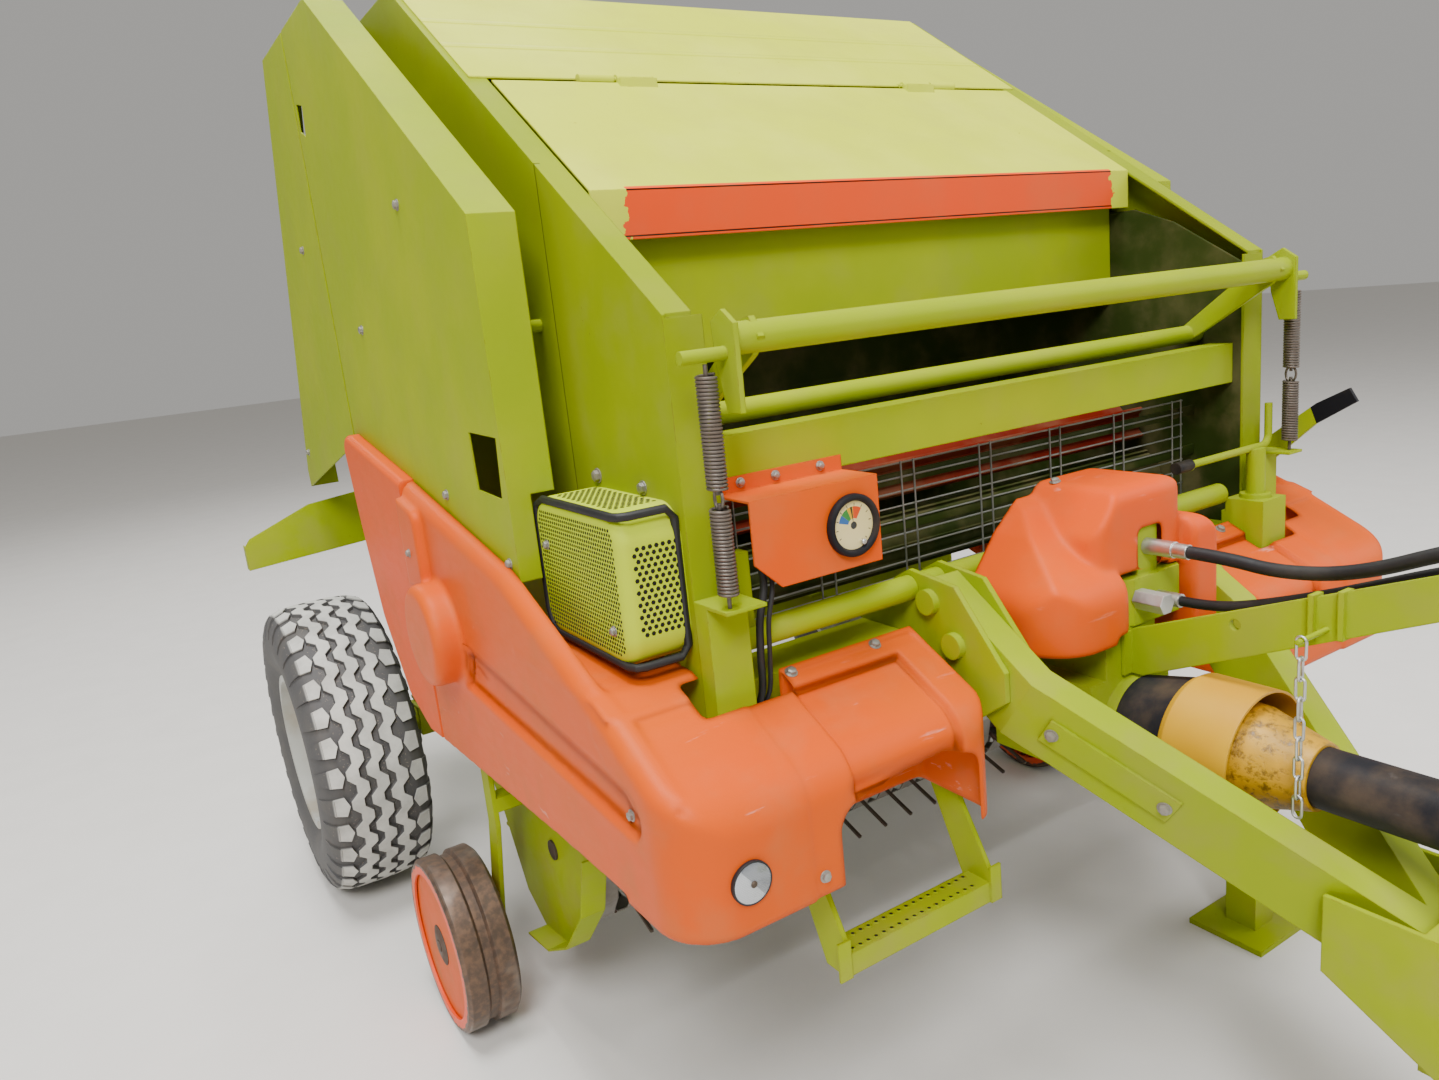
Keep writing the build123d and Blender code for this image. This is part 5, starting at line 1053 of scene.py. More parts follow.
@dataclass
class RoadTyre:
    """A road tyre with three zigzag ribs, shoulder blocks and fins running down the sidewall."""

    side: int
    centre_x: float = ROAD_WHEEL[0]
    centre_ym: float = ROAD_WHEEL[1]
    radius: float = ROAD_WHEEL[2]
    groove: float = 0.0105
    periods: int = 32
    rib_places: tuple[float, ...] = (-0.046, 0.0, 0.046)
    rib_width: float = 0.031
    swing: float = 0.0085
    steps: int = 8

    def carcass(self) -> list[tuple[float, float]]:
        """Section of the carcass as pairs of offset from the middle and radius."""
        half = [(0.0, 0.3690), (0.030, 0.3688), (0.060, 0.3680), (0.085, 0.3655), (0.102, 0.3600), (0.114, 0.3490),
                (0.122, 0.3330), (0.128, 0.3100), (0.1305, 0.2850), (0.1285, 0.2600), (0.121, 0.2380),
                (0.113, 0.2240), (0.108, 0.2120), (0.106, 0.2020), (0.100, 0.1975)]
        inner = [(0.086, 0.1975), (0.094, 0.2200), (0.112, 0.2500), (0.117, 0.2900), (0.108, 0.3300), (0.070, 0.3550),
                 (0.0, 0.3580)]
        loop = [(-x, r) for x, r in reversed(half)] + half[1:] + inner
        return loop + [(-x, r) for x, r in reversed(inner[:-1])]

    def crown(self, offset: float) -> float:
        """Radius of the carcass under the tread at this offset."""
        return 0.3690 - 0.55 * offset * offset - max(0.0, abs(offset) - 0.09) * 0.45

    def point(self, offset: float, radius: float, angle: float) -> Vector:
        """Place of a point given by its offset, radius and angle."""
        return Vector((self.side * self.centre_x + offset, back(self.centre_ym) + radius * math.sin(angle),
                       self.radius + radius * math.cos(angle)))

    def ring(self, mesh: bmesh.types.BMesh, section: list[list[tuple[float, float]]], worn: list[float],
             layer: bmesh.types.BMLayerItem) -> None:
        """Sweeps sections round the axle and closes the ring.

        Args:
            mesh: Mesh to add to.
            section: One closed loop of offset and radius for each step of the turn.
            worn: Share of dusty wear for each point of the loop.
            layer: Vertex layer that keeps the wear.
        """
        turns = len(section)
        rings = []
        for index, loop in enumerate(section):
            angle = 2 * math.pi * index / turns
            ring = [mesh.verts.new(self.point(offset, radius, angle)) for offset, radius in loop]
            for vertex, share in zip(ring, worn):
                vertex[layer] = share
            rings.append(ring)
        for index, ring in enumerate(rings):
            other = rings[(index + 1) % turns]
            for place in range(len(ring)):
                after = (place + 1) % len(ring)
                mesh.faces.new((ring[place], ring[after], other[after], other[place]))

    def wave(self, share: float) -> float:
        """Sideways swing of the ribs at a share of one period: straight runs joined by slanted ones."""
        share %= 1.0
        if share < 0.28:
            return 1.0
        if share < 0.5:
            return 1.0 - 2.0 * (share - 0.28) / 0.22
        if share < 0.78:
            return -1.0
        return -1.0 + 2.0 * (share - 0.78) / 0.22

    def ribs(self, mesh: bmesh.types.BMesh, layer: bmesh.types.BMLayerItem) -> None:
        """Adds the three zigzag ribs."""
        turns = self.periods * self.steps
        cuts = (0.0, 0.14, 0.28, 0.39, 0.5, 0.64, 0.78, 0.89)
        for middle in self.rib_places:
            sections = []
            for index in range(turns):
                share = cuts[index % self.steps]
                centre = middle + self.swing * self.wave(share)
                low_left, low_right = centre - self.rib_width / 2 - 0.002, centre + self.rib_width / 2 + 0.002
                left, right = centre - self.rib_width / 2, centre + self.rib_width / 2
                top = self.groove - 0.0005
                sections.append([
                    (low_left, self.crown(low_left) - 0.004), (low_right, self.crown(low_right) - 0.004),
                    (right, self.crown(right) + top - 0.0022), (right - 0.002, self.crown(right) + top),
                    (left + 0.002, self.crown(left) + top), (left, self.crown(left) + top - 0.0022),
                ])
            self.spaced_ring(mesh, sections, cuts, (0.0, 0.0, 0.55, 1.0, 1.0, 0.55), layer)

    def spaced_ring(self, mesh: bmesh.types.BMesh, sections: list[list[tuple[float, float]]], cuts: tuple[float, ...],
                    worn: tuple[float, ...], layer: bmesh.types.BMLayerItem) -> None:
        """Sweeps a zigzag rib, whose sections stand at uneven angles.

        Args:
            mesh: Mesh to add to.
            sections: Closed loops of offset and radius.
            cuts: Where in a period each loop stands.
            worn: Dusty wear of each point of a loop.
            layer: Vertex layer that keeps the wear.
        """
        rings = []
        for index, loop in enumerate(sections):
            angle = 2 * math.pi * (index // self.steps + cuts[index % self.steps]) / self.periods
            ring = [mesh.verts.new(self.point(offset, radius, angle)) for offset, radius in loop]
            for vertex, share in zip(ring, worn):
                vertex[layer] = share
            rings.append(ring)
        for index, ring in enumerate(rings):
            other = rings[(index + 1) % len(rings)]
            for place in range(len(ring)):
                after = (place + 1) % len(ring)
                mesh.faces.new((ring[place], ring[after], other[after], other[place]))

    def blocks(self, mesh: bmesh.types.BMesh, layer: bmesh.types.BMLayerItem) -> None:
        """Adds the five-sided shoulder blocks and the fins below them."""
        period = 2 * math.pi / self.periods
        for edge in (1, -1):
            for index in range(self.periods):
                start = period * (index + (0.14 if edge > 0 else 0.64))
                tip, inner, outer = 0.073, 0.083, 0.107
                outline = [(-0.33, inner), (0.0, tip), (0.33, inner), (0.29, outer), (-0.29, outer)]
                top, foot = [], []
                for share, offset in outline:
                    place = edge * offset
                    angle = start + share * period
                    high = mesh.verts.new(self.point(place, self.crown(place) + self.groove - 0.001, angle))
                    high[layer] = 1.0
                    spread = 1.0 + 0.06 * (1 if abs(share) > 0.1 else 0)
                    low = mesh.verts.new(self.point(place, self.crown(place) - 0.006, start + share * spread * period))
                    low[layer] = 0.0
                    top.append(high)
                    foot.append(low)
                mesh.faces.new(top)
                mesh.faces.new(list(reversed(foot)))
                for place in range(5):
                    after = (place + 1) % 5
                    mesh.faces.new((top[place], foot[place], foot[after], top[after]))
                self.fin(mesh, layer, edge, start, period)

    def fin(self, mesh: bmesh.types.BMesh, layer: bmesh.types.BMLayerItem, edge: int, start: float,
            period: float) -> None:
        """Adds the fin that runs from a block down the sidewall.

        Args:
            mesh: Mesh to add to.
            layer: Vertex layer that keeps the wear.
            edge: Side of the tyre.
            start: Angle of the block's middle.
            period: Angle between blocks.
        """
        lines = [(0.1065, 0.3665, 0.29, 0.9), (0.1180, 0.3520, 0.27, 0.1), (0.1265, 0.3300, 0.20, 0.0),
                 (0.1300, 0.3080, 0.14, 0.0)]
        depth = 0.012
        rows = []
        for offset, radius, width, share in lines:
            row = []
            for place, turn in ((0, -1), (0, 1), (1, 1), (1, -1)):
                sunk = offset - (depth if place else 0.0)
                reach = radius - (0.008 if place else 0.0)
                vertex = mesh.verts.new(self.point(edge * sunk, reach, start + turn * width * period))
                vertex[layer] = 0.0 if place else share
                row.append(vertex)
            rows.append(row)
        for first, second in zip(rows, rows[1:]):
            for place in range(4):
                after = (place + 1) % 4
                mesh.faces.new((first[place], first[after], second[after], second[place]))
        mesh.faces.new(rows[0])
        mesh.faces.new(list(reversed(rows[-1])))

    def build(self, wardrobe: Wardrobe) -> None:
        """Makes the tyre and puts it in place of its plain solid."""
        node = "tyre_left" if self.side > 0 else "tyre_right"
        mesh = bmesh.new()
        layer = mesh.verts.layers.float.new("worn")
        loop = self.carcass()
        worn = [0.25 if radius > 0.366 else 0.0 for _, radius in loop]
        self.ring(mesh, [loop] * 96, worn, layer)
        self.ribs(mesh, layer)
        self.blocks(mesh, layer)
        wardrobe.settle(node + "_tread", mesh, Finish.TYRE, "wheel_left" if self.side > 0 else "wheel_right", node)


def finish_mesh(name: str, mesh: bmesh.types.BMesh, smooth_below: float = 0.6) -> bpy.types.Object:
    """Turns a bmesh into a linked object with outward faces.

    Args:
        name: The piece's name.
        mesh: The bmesh, which is freed.
        smooth_below: Edges flatter than this angle in radians are smooth.

    Returns:
        The object.
    """
    bmesh.ops.recalc_face_normals(mesh, faces=mesh.faces)
    for face in mesh.faces:
        face.smooth = True
    for edge in mesh.edges:
        edge.smooth = edge.is_manifold and edge.calc_face_angle(0.0) < smooth_below
    data = bpy.data.meshes.new(name)
    mesh.to_mesh(data)
    mesh.free()
    return linked(name, data)


def turned(mesh: bmesh.types.BMesh, profile: list[tuple[float, float]], centre: Vector, axis: Vector,
           sides: int = 40) -> None:
    """Adds a turned closed form.

    Args:
        mesh: Mesh to add to.
        profile: Pairs of radius and distance along the axis, from one end on the axis to the other.
        centre: Where the axis starts.
        axis: Direction of the axis.
        sides: Sides of each ring.
    """
    way = axis.normalized()
    first = way.orthogonal().normalized()
    second = way.cross(first)
    rings: list[list[bmesh.types.BMVert]] = []
    for radius, reach in profile:
        if radius < 1e-6:
            rings.append([mesh.verts.new(centre + way * reach)])
            continue
        rings.append([mesh.verts.new(centre + way * reach + radius * (math.cos(turn) * first + math.sin(turn) * second))
                      for turn in angles(sides)])
    for low, high in zip(rings, rings[1:]):
        for place in range(sides):
            after = (place + 1) % sides
            if len(low) == 1:
                mesh.faces.new((low[0], high[place], high[after]))
            elif len(high) == 1:
                mesh.faces.new((low[place], high[0], low[after]))
            else:
                mesh.faces.new((low[place], high[place], high[after], low[after]))


@dataclass
class SoftShell:
    """A moulded cover whose creases are rounded, made from its solid by remeshing and smoothing."""

    node: str
    finish: Finish
    voxel: float = 0.0026
    passes: int = 22
    keep: float = 0.30

    def build(self, nodes: dict[str, bpy.types.Object], wardrobe: Wardrobe) -> bpy.types.Object:
        """Makes the rounded cover and puts it in place of its solid.

        Args:
            nodes: CAD nodes.
            wardrobe: Finishes.

        Returns:
            The piece.
        """
        merged = bmesh.new()
        merged.from_mesh(nodes[self.node].data)
        bmesh.ops.remove_doubles(merged, verts=merged.verts, dist=1e-5)
        holder = finish_mesh(self.node + "_holder", merged)
        remesh = holder.modifiers.new("remesh", "REMESH")
        remesh.mode = "VOXEL"
        remesh.voxel_size = self.voxel
        smooth = holder.modifiers.new("smooth", "SMOOTH")
        smooth.factor = 0.5
        smooth.iterations = self.passes
        data = evaluated(holder)
        for vertex in data.vertices:
            vertex.co += self.press(vertex.co)
        holder = linked(self.node + "_pressed", data)
        holder.modifiers.new("thin", "DECIMATE").ratio = self.keep
        data = evaluated(holder)
        for polygon in data.polygons:
            polygon.use_smooth = True
        data.name = self.node + "_moulding"
        piece = linked(self.node + "_moulding", data)
        data.materials.clear()
        wardrobe.dress(piece, self.finish)
        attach(piece, nodes[self.node].get("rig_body", "frame"))
        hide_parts(self.node)
        LOG.info("%s: %d faces", piece.name, len(data.polygons))
        return piece

    def press(self, spot: Vector) -> Vector:
        """How far a point of the shell is moved by forms pressed into it; a plain shell has none."""
        return Vector((0.0, 0.0, 0.0))


def rise(value: float, low: float, high: float) -> float:
    """Soft step from 0 below the low value to 1 above the high one."""
    share = min(1.0, max(0.0, (value - low) / (high - low)))
    return share * share * (3.0 - 2.0 * share)


@dataclass
class CoverShell(SoftShell):
    """Side cover with a sunk band along its side and a sunk panel and a step on its front arm."""

    band_depth: float = 0.0080
    panel_depth: float = 0.0110
    step_height: float = 0.0030
    axis_ym: float = 0.020
    axis_z: float = 0.720

    def press(self, spot: Vector) -> Vector:
        """Sinks the band and the panel and lowers the arm beyond the step."""
        side = 1.0 if spot.x > 0 else -1.0
        reach, ym, z = abs(spot.x), spot.y - FRONT, spot.z
        move = Vector((0.0, 0.0, 0.0))
        if reach > 0.80:
            top = band_top(ym)
            foot = (ym + 0.081) * 0.060 + 0.751
            middle, half = (top + foot) / 2, (top - foot) / 2
            ahead = max(0.0, -0.062 - ym)
            inside = half - math.hypot(ahead, z - middle)
            boss = math.hypot(ym - 0.643, z - 0.875) - 0.104
            sunk = rise(inside, -0.005, 0.006) * rise(boss, 0.0, 0.014) * rise(reach, 0.806, 0.822)
            sunk *= 1.0 - rise(ym, 0.56, 0.60)
            move.x -= side * self.band_depth * sunk
        if ym < 0.0 and reach < 0.70:
            outward = Vector((0.0, spot.y - back(self.axis_ym), z - self.axis_z)).normalized()
            panel = min(reach - 0.365, 0.555 - reach, z - 0.755, -0.062 - ym)
            depth = self.panel_depth * rise(panel, -0.006, 0.004)
            depth += self.step_height * (1.0 - rise(reach, 0.631, 0.641))
            move -= outward * depth * rise(-ym, 0.0, 0.02)
        return move


@dataclass
class PressureGauge:
    """Round gauge with a black bezel, a cream dial and a small knob."""

    x: float = DIAL[0]
    z: float = DIAL[1]
    face_ym: float = -0.060

    def build(self, wardrobe: Wardrobe) -> None:
        """Makes bezel, dial and knob."""
        ahead = Vector((0.0, -1.0, 0.0))
        centre = Vector((self.x, back(self.face_ym), self.z))
        bezel = bmesh.new()
        turned(bezel, [(0, -0.034), (0.0385, -0.034), (0.0395, -0.002), (0.0395, 0.0004), (0.0440, 0.0006),
                       (0.0450, 0.0020), (0.0450, 0.0090), (0.0435, 0.0112), (0.0405, 0.0122), (0.0375, 0.0115),
                       (0.0350, 0.0080), (0.0345, 0.0050), (0, 0.0050)], centre, ahead, 64)
        wardrobe.settle("gauge_bezel", bezel, Finish.BLACK, "frame", "pressure_gauge")
        dial = bmesh.new()
        turned(dial, [(0, 0.0049), (0.0346, 0.0049), (0.0346, 0.0056), (0, 0.0060)], centre, ahead, 64)
        wardrobe.settle("gauge_dial", dial, Finish.DIAL)
        knob = bmesh.new()
        turned(knob, [(0, 0.0058), (0.0042, 0.0058), (0.0042, 0.0100), (0.0030, 0.0112), (0, 0.0112)],
               centre + Vector((0.014, 0.0, -0.026)), ahead, 20)
        wardrobe.settle("gauge_knob", knob, Finish.ZINC)


@dataclass
class Reflectors:
    """Round reflectors on the front of both covers, each with a black ring and a centre screw."""

    reach_x: float = REFLECTOR[0]
    z: float = REFLECTOR[1]
    radius: float = 0.029

    def build(self, nodes: dict[str, bpy.types.Object], wardrobe: Wardrobe) -> None:
        """Makes the reflectors where the covers' front faces carry them."""
        for side, cover in ((1, "cover_left"), (-1, "cover_right")):
            name = "left" if side > 0 else "right"
            place, way = on_surface(nodes, cover, (side * self.reach_x, -0.5, self.z), (0.0, 1.0, 0.0))
            glass, ring, screw = bmesh.new(), bmesh.new(), bmesh.new()
            turned(glass, [(0, 0.0), (self.radius - 0.002, 0.0), (self.radius - 0.002, 0.0050),
                           (self.radius - 0.005, 0.0066), (0, 0.0075)], place, way, 48)
            turned(ring, [(0, -0.001), (self.radius, -0.001), (self.radius, 0.0048), (self.radius - 0.0016, 0.0056),
                          (self.radius - 0.0024, 0.0050), (self.radius - 0.0024, 0.0008), (0, 0.0008)], place, way, 48)
            turned(screw, [(0, 0.0070), (0.0042, 0.0070), (0.0046, 0.0082), (0.0030, 0.0098), (0, 0.0102)],
                   place, way, 20)
            for mesh, label, finish in ((glass, "glass", Finish.REFLECTOR), (ring, "ring", Finish.TRIM),
                                        (screw, "screw", Finish.GROUND)):
                wardrobe.settle(f"reflector_{label}_{name}", mesh, finish)


@dataclass
class PerforatedBox:
    """Rows of holes in the side box, its black edge trim and its bolts."""

    out_x: float = 0.760
    wall_x: float = 0.665
    low: tuple[float, float] = (0.014, 0.934)
    high: tuple[float, float] = (0.303, 1.151)
    corner: float = 0.045
    side_pitch: float = 0.0072
    front_pitch: float = 0.0098

    def face_holes(self) -> list[tuple[Vector, Vector]]:
        """Places of the small holes on the outer face, in offset rows."""
        found = []
        row, z = 0, self.low[1] + 0.020
        while z < self.high[1] - 0.019:
            ym = self.low[0] + 0.020 + (self.side_pitch / 2 if row % 2 else 0.0)
            while ym < self.high[0] - 0.019:
                if self.within(ym, z, 0.016):
                    found.append((Vector((-self.out_x, back(ym), z)), Vector((-1.0, 0.0, 0.0))))
                ym += self.side_pitch
            z += self.side_pitch * 0.866
            row += 1
        return found

    def within(self, ym: float, z: float, margin: float) -> bool:
        """True where a point keeps its distance from the rounded outline."""
        across = max(self.low[0] + self.corner - ym, ym - self.high[0] + self.corner, 0.0)
        along = max(self.low[1] + self.corner - z, z - self.high[1] + self.corner, 0.0)
        return math.hypot(across, along) < self.corner - margin

    def front_holes(self) -> list[tuple[Vector, Vector]]:
        """Places of the larger holes on the front face."""
        found = []
        row, z = 0, self.low[1] + self.corner + 0.004
        while z < self.high[1] - self.corner - 0.003:
            x = self.wall_x + 0.010 + (self.front_pitch / 2 if row % 2 else 0.0)
            while x < self.out_x - 0.019:
                found.append((Vector((-x, back(self.low[0]), z)), Vector((0.0, -1.0, 0.0))))
                x += self.front_pitch
            z += self.front_pitch * 0.866
            row += 1
        return found

    def top_holes(self) -> list[tuple[Vector, Vector]]:
        """Places of the larger holes on the top, rear and lower faces."""
        found = []
        row, ym = 0, self.low[0] + self.corner + 0.004
        while ym < self.high[0] - self.corner - 0.003:
            x = self.wall_x + 0.010 + (self.front_pitch / 2 if row % 2 else 0.0)
            while x < self.out_x - 0.019:
                found.append((Vector((-x, back(ym), self.high[1])), Vector((0.0, 0.0, 1.0))))
                found.append((Vector((-x, back(ym), self.low[1])), Vector((0.0, 0.0, -1.0))))
                x += self.front_pitch
            ym += self.front_pitch * 0.866
            row += 1
        return found

    def punch(self, name: str, places: list[tuple[Vector, Vector]], radius: float, wardrobe: Wardrobe) -> None:
        """Sets one dark hole on every place.

        Args:
            name: Name of the piece.
            places: Points with their directions.
            radius: The holes' radius.
            wardrobe: Finishes.
        """
        sheet = GeoSheet(name + "_tree", {"Radius": radius, "Depth": 0.0007})
        disc = sheet.add("GeometryNodeMeshCylinder", {"fill_type": "NGON"}, {
            "Vertices": 6, "Radius": sheet.size("Radius"), "Depth": sheet.size("Depth"),
        })
        way = sheet.add("GeometryNodeInputNamedAttribute", {"data_type": "FLOAT_VECTOR"}, {"Name": "facing"})
        turn = sheet.add("FunctionNodeAlignRotationToVector", {"axis": "Z"}, {"Vector": way})
        placed = sheet.add("GeometryNodeInstanceOnPoints", None, {
            "Points": sheet.given.outputs[0], "Instance": disc, "Rotation": turn,
        })
        piece = sheet.bake(name, spots(name, places), placed, wardrobe.get(Finish.SHADE))
        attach(piece, "frame")

    def trim(self, wardrobe: Wardrobe) -> None:
        """Lays the rubber trim along the edges of the bent sheet: outer face, front face and back."""
        out, wall = -self.out_x + 0.004, -self.wall_x - 0.006
        near, far = self.low[0] + 0.004, self.high[0] - 0.004
        foot, top = self.low[1] + 0.004, self.high[1] - 0.004
        bend, soft = 0.016, 0.034
        line = [(out, far, top - soft), (out, far - 0.010, top - 0.010), (out, far - soft, top), (out, near + bend, top),
                (out + 0.005, near + 0.005, top), (out + bend, near, top), (wall - 0.012, near, top),
                (wall, near, top - 0.014), (wall, near, foot + 0.014), (wall - 0.012, near, foot),
                (out + bend, near, foot), (out + 0.005, near + 0.005, foot), (out, near + bend, foot),
                (out, far - soft, foot), (out, far - 0.010, foot + 0.010), (out, far, foot + soft)]
        mesh = bmesh.new()
        tube(mesh, [Vector((x, back(ym), z)) for x, ym, z in line], 0.0062, True, 10)
        wardrobe.settle("side_box_trim", mesh, Finish.TRIM)

    def build(self, wardrobe: Wardrobe) -> None:
        """Punches the holes and lays the trim."""
        self.punch("side_box_small_holes", self.face_holes(), 0.0024, wardrobe)
        self.punch("side_box_large_holes", self.front_holes() + self.top_holes(), 0.0034, wardrobe)
        self.trim(wardrobe)


@dataclass
class WireGuard:
    """Welded wire guard in front of the rollers: level wires, paired uprights and two flat straps."""

    half: float = 0.562
    ym: float = 0.102
    rows: int = 10
    low: float = 0.904
    row_pitch: float = 0.024
    columns: int = 7
    column_pitch: float = 0.180
    pair: float = 0.014
    wire: float = 0.0017

    def build(self, wardrobe: Wardrobe) -> None:
        """Makes the wires and straps in place of the plain guard."""
        mesh = bmesh.new()
        y = back(self.ym)
        high = self.low + (self.rows - 1) * self.row_pitch
        for row in range(self.rows):
            z = self.low + row * self.row_pitch
            tube(mesh, [Vector((-self.half, y, z)), Vector((self.half, y, z))], self.wire)
        for column in range(self.columns):
            middle = (column - (self.columns - 1) / 2) * self.column_pitch
            for x in (middle - self.pair, middle + self.pair):
                tube(mesh, [Vector((x, y - 0.0025, self.low - 0.003)), Vector((x, y - 0.0025, high + 0.003))], self.wire)
        wardrobe.settle("guard_wires", mesh, Finish.WIRE, "frame", "mesh_guard")
        straps = bmesh.new()
        for z in (1.015, 1.095):
            bar(straps, Vector((-0.605, y + 0.002, z - 0.010)), Vector((0.605, y + 0.007, z + 0.010)))
        # the straps get the darker copy of the lime paint as painted shade
        wardrobe.settle("guard_straps", straps, Finish.SHADED_LIME)
        LOG.info("wire guard: %d rows", self.rows)


def bar(mesh: bmesh.types.BMesh, low: Vector, high: Vector, soft: float = 0.001) -> None:
    """Adds a flat bar between two corners, with bevelled edges.

    Args:
        mesh: Mesh to add to.
        low: Lowest corner.
        high: Highest corner.
        soft: Width of the bevels.
    """
    made = bmesh.ops.create_cube(mesh, size=1.0)
    size, middle = high - low, (high + low) / 2
    for vertex in made["verts"]:
        vertex.co = Vector(part * length for part, length in zip(vertex.co, size)) + middle
    edges = {edge for vertex in made["verts"] for edge in vertex.link_edges}
    bmesh.ops.bevel(mesh, geom=list(edges), offset=soft, segments=2, affect="EDGES", profile=0.5)


@dataclass
class SupportChain:
    """Welded chain hanging from the pin of the hose support, its links a little turned."""

    x: float = -0.064
    ym: float = -0.490
    pin_z: float = 0.912
    links: int = 9
    length: float = 0.0360
    width: float = 0.0170
    wire: float = 0.0020

    def build(self, wardrobe: Wardrobe) -> None:
        """Makes the links in place of the plain ones."""
        mesh = bmesh.new()
        bar_width = 2 * self.wire
        pitch = self.length - 2 * bar_width - 0.0003
        half_long, half_wide = self.length / 2 - self.wire, self.width / 2 - self.wire
        for index in range(self.links):
            middle = self.pin_z + 0.0038 + bar_width - self.length / 2 - index * pitch
            lean = math.radians((90.0 if index % 2 == 0 else 0.0) + (0, 9, -7, 12, -10, 6, -12, 8, -6)[index % 9])
            side = Vector((math.cos(lean), math.sin(lean), 0.0))
            line = []
            for step in range(24):
                turn = 2 * math.pi * step / 24
                across = half_wide * math.cos(turn)
                along = half_wide * math.sin(turn) + (half_long - half_wide) * (1 if math.sin(turn) >= 0 else -1)
                line.append(Vector((self.x, back(self.ym), middle + along)) + side * across)
            tube(mesh, line, self.wire * 0.97, True, 8)
        wardrobe.settle("chain_links", mesh, Finish.ZINC, node="support_chain", smooth_below=1.2)


@dataclass
class WheelNuts:
    """Nuts and hub cap of the road wheels' outer faces."""

    road_x: float = ROAD_WHEEL[0]
    road_ym: float = ROAD_WHEEL[1]
    road_z: float = ROAD_WHEEL[2]
    circle: float = 0.080
    count: int = 6

    def build(self, nodes: dict[str, bpy.types.Object], wardrobe: Wardrobe) -> None:
        """Plants the nuts on the discs and turns the hub caps."""
        for side, name in SIDES:
            way = (-float(side), 0.0, 0.0)
            places = []
            for index in range(self.count):
                turn = 2 * math.pi * (index + 0.25) / self.count
                start = (side * 1.4, self.road_ym + self.circle * math.cos(turn),
                         self.road_z + self.circle * math.sin(turn))
                places.append(on_surface(nodes, "rim_" + name, start, way))
            Bolt(0.0125, 0.012, 0.017, 0.003).plant("wheel_nuts_" + name, places, Finish.ZINC, "wheel_" + name, wardrobe)
            cap = bmesh.new()
            face = side * (self.road_x + 0.0525)
            turned(cap, [(0, -0.006), (0.043, -0.006), (0.043, 0.012), (0.036, 0.024), (0.018, 0.030), (0, 0.031)],
                   Vector((face, back(self.road_ym), self.road_z)), Vector((float(side), 0.0, 0.0)), 32)
            wardrobe.settle("hub_cap_" + name, cap, Finish.WHITE, "wheel_" + name)


@dataclass
class GaugeDiscs:
    """Orange discs on the outer faces of the gauge wheels, bent and torn along their edge, with a centre bolt."""

    reach_x: float = GAUGE_WHEEL[0]
    ym: float = GAUGE_WHEEL[1]
    z: float = GAUGE_WHEEL[2]
    radius: float = 0.1655
    face: float = 0.0500
    seed: int = 11

    def build(self, wardrobe: Wardrobe) -> None:
        """Makes both discs."""
        chance = random.Random(self.seed)
        for side, name in SIDES:
            way = Vector((float(side), 0.0, 0.0))
            centre = Vector((side * self.reach_x, back(self.ym), self.z))
            mesh = bmesh.new()
            rings: list[list[bmesh.types.BMVert]] = []
            turns = 96
            edge = [self.radius - abs(chance.gauss(0.0, 0.0022)) for _ in range(turns)]
            for depth, share in ((self.face - 0.002, 0.24), (self.face - 0.002, 0.75), (self.face - 0.003, 0.93),
                                 (self.face, 1.0), (self.face - 0.003, 1.0), (self.face - 0.006, 0.92),
                                 (self.face - 0.005, 0.75), (self.face - 0.005, 0.24)):
                ring = []
                for index in range(turns):
                    turn = 2 * math.pi * index / turns
                    reach = edge[index] if share > 0.99 else self.radius * share
                    ring.append(mesh.verts.new(centre + way * depth + Vector(
                        (0.0, reach * math.cos(turn), reach * math.sin(turn)))))
                rings.append(ring)
            for low, high in zip(rings, rings[1:] + rings[:1]):
                for place in range(turns):
                    after = (place + 1) % turns
                    mesh.faces.new((low[place], high[place], high[after], low[after]))
            wardrobe.settle("gauge_disc_" + name, mesh, Finish.ORANGE, "gauge_" + name)
            hub = bmesh.new()
            turned(hub, [(0, 0.030), (0.040, 0.030), (0.042, self.face - 0.001), (0.030, self.face + 0.002),
                         (0.0, self.face + 0.002)], centre, way, 32)
            turned(hub, [(0, self.face), (0.013, self.face), (0.013, self.face + 0.004), (0.0, self.face + 0.0045)],
                   centre, way, 6)
            wardrobe.settle("gauge_hub_" + name, hub, Finish.GROUND, "gauge_" + name)


@dataclass
class StepGrip:
    """Two rows of raised grip holes in the step's tread."""

    top_z: float = 0.506
    rows: tuple[float, ...] = (-0.142, -0.116)
    from_x: float = -0.553
    to_x: float = -0.304
    holes: int = 17

    def build(self, wardrobe: Wardrobe) -> None:
        """Makes the rims and the dark holes."""
        rims, holes = bmesh.new(), bmesh.new()
        upward = Vector((0.0, 0.0, 1.0))
        for row, ym in enumerate(self.rows):
            for index in range(self.holes):
                share = (index + 0.5 * (row % 2)) / self.holes
                place = Vector((self.from_x + (self.to_x - self.from_x) * share, back(ym), self.top_z))
                turned(rims, [(0, -0.001), (0.0055, -0.001), (0.0052, 0.0008), (0.0040, 0.0016), (0.0030, 0.0012),
                              (0.0028, 0.0003), (0, 0.0003)], place, upward, 14)
                turned(holes, [(0, 0.0), (0.0029, 0.0), (0.0029, 0.0006), (0, 0.0006)], place, upward, 14)
        for mesh, name, finish in ((rims, "step_rims", Finish.LIME), (holes, "step_holes", Finish.SHADE)):
            wardrobe.settle(name, mesh, finish)


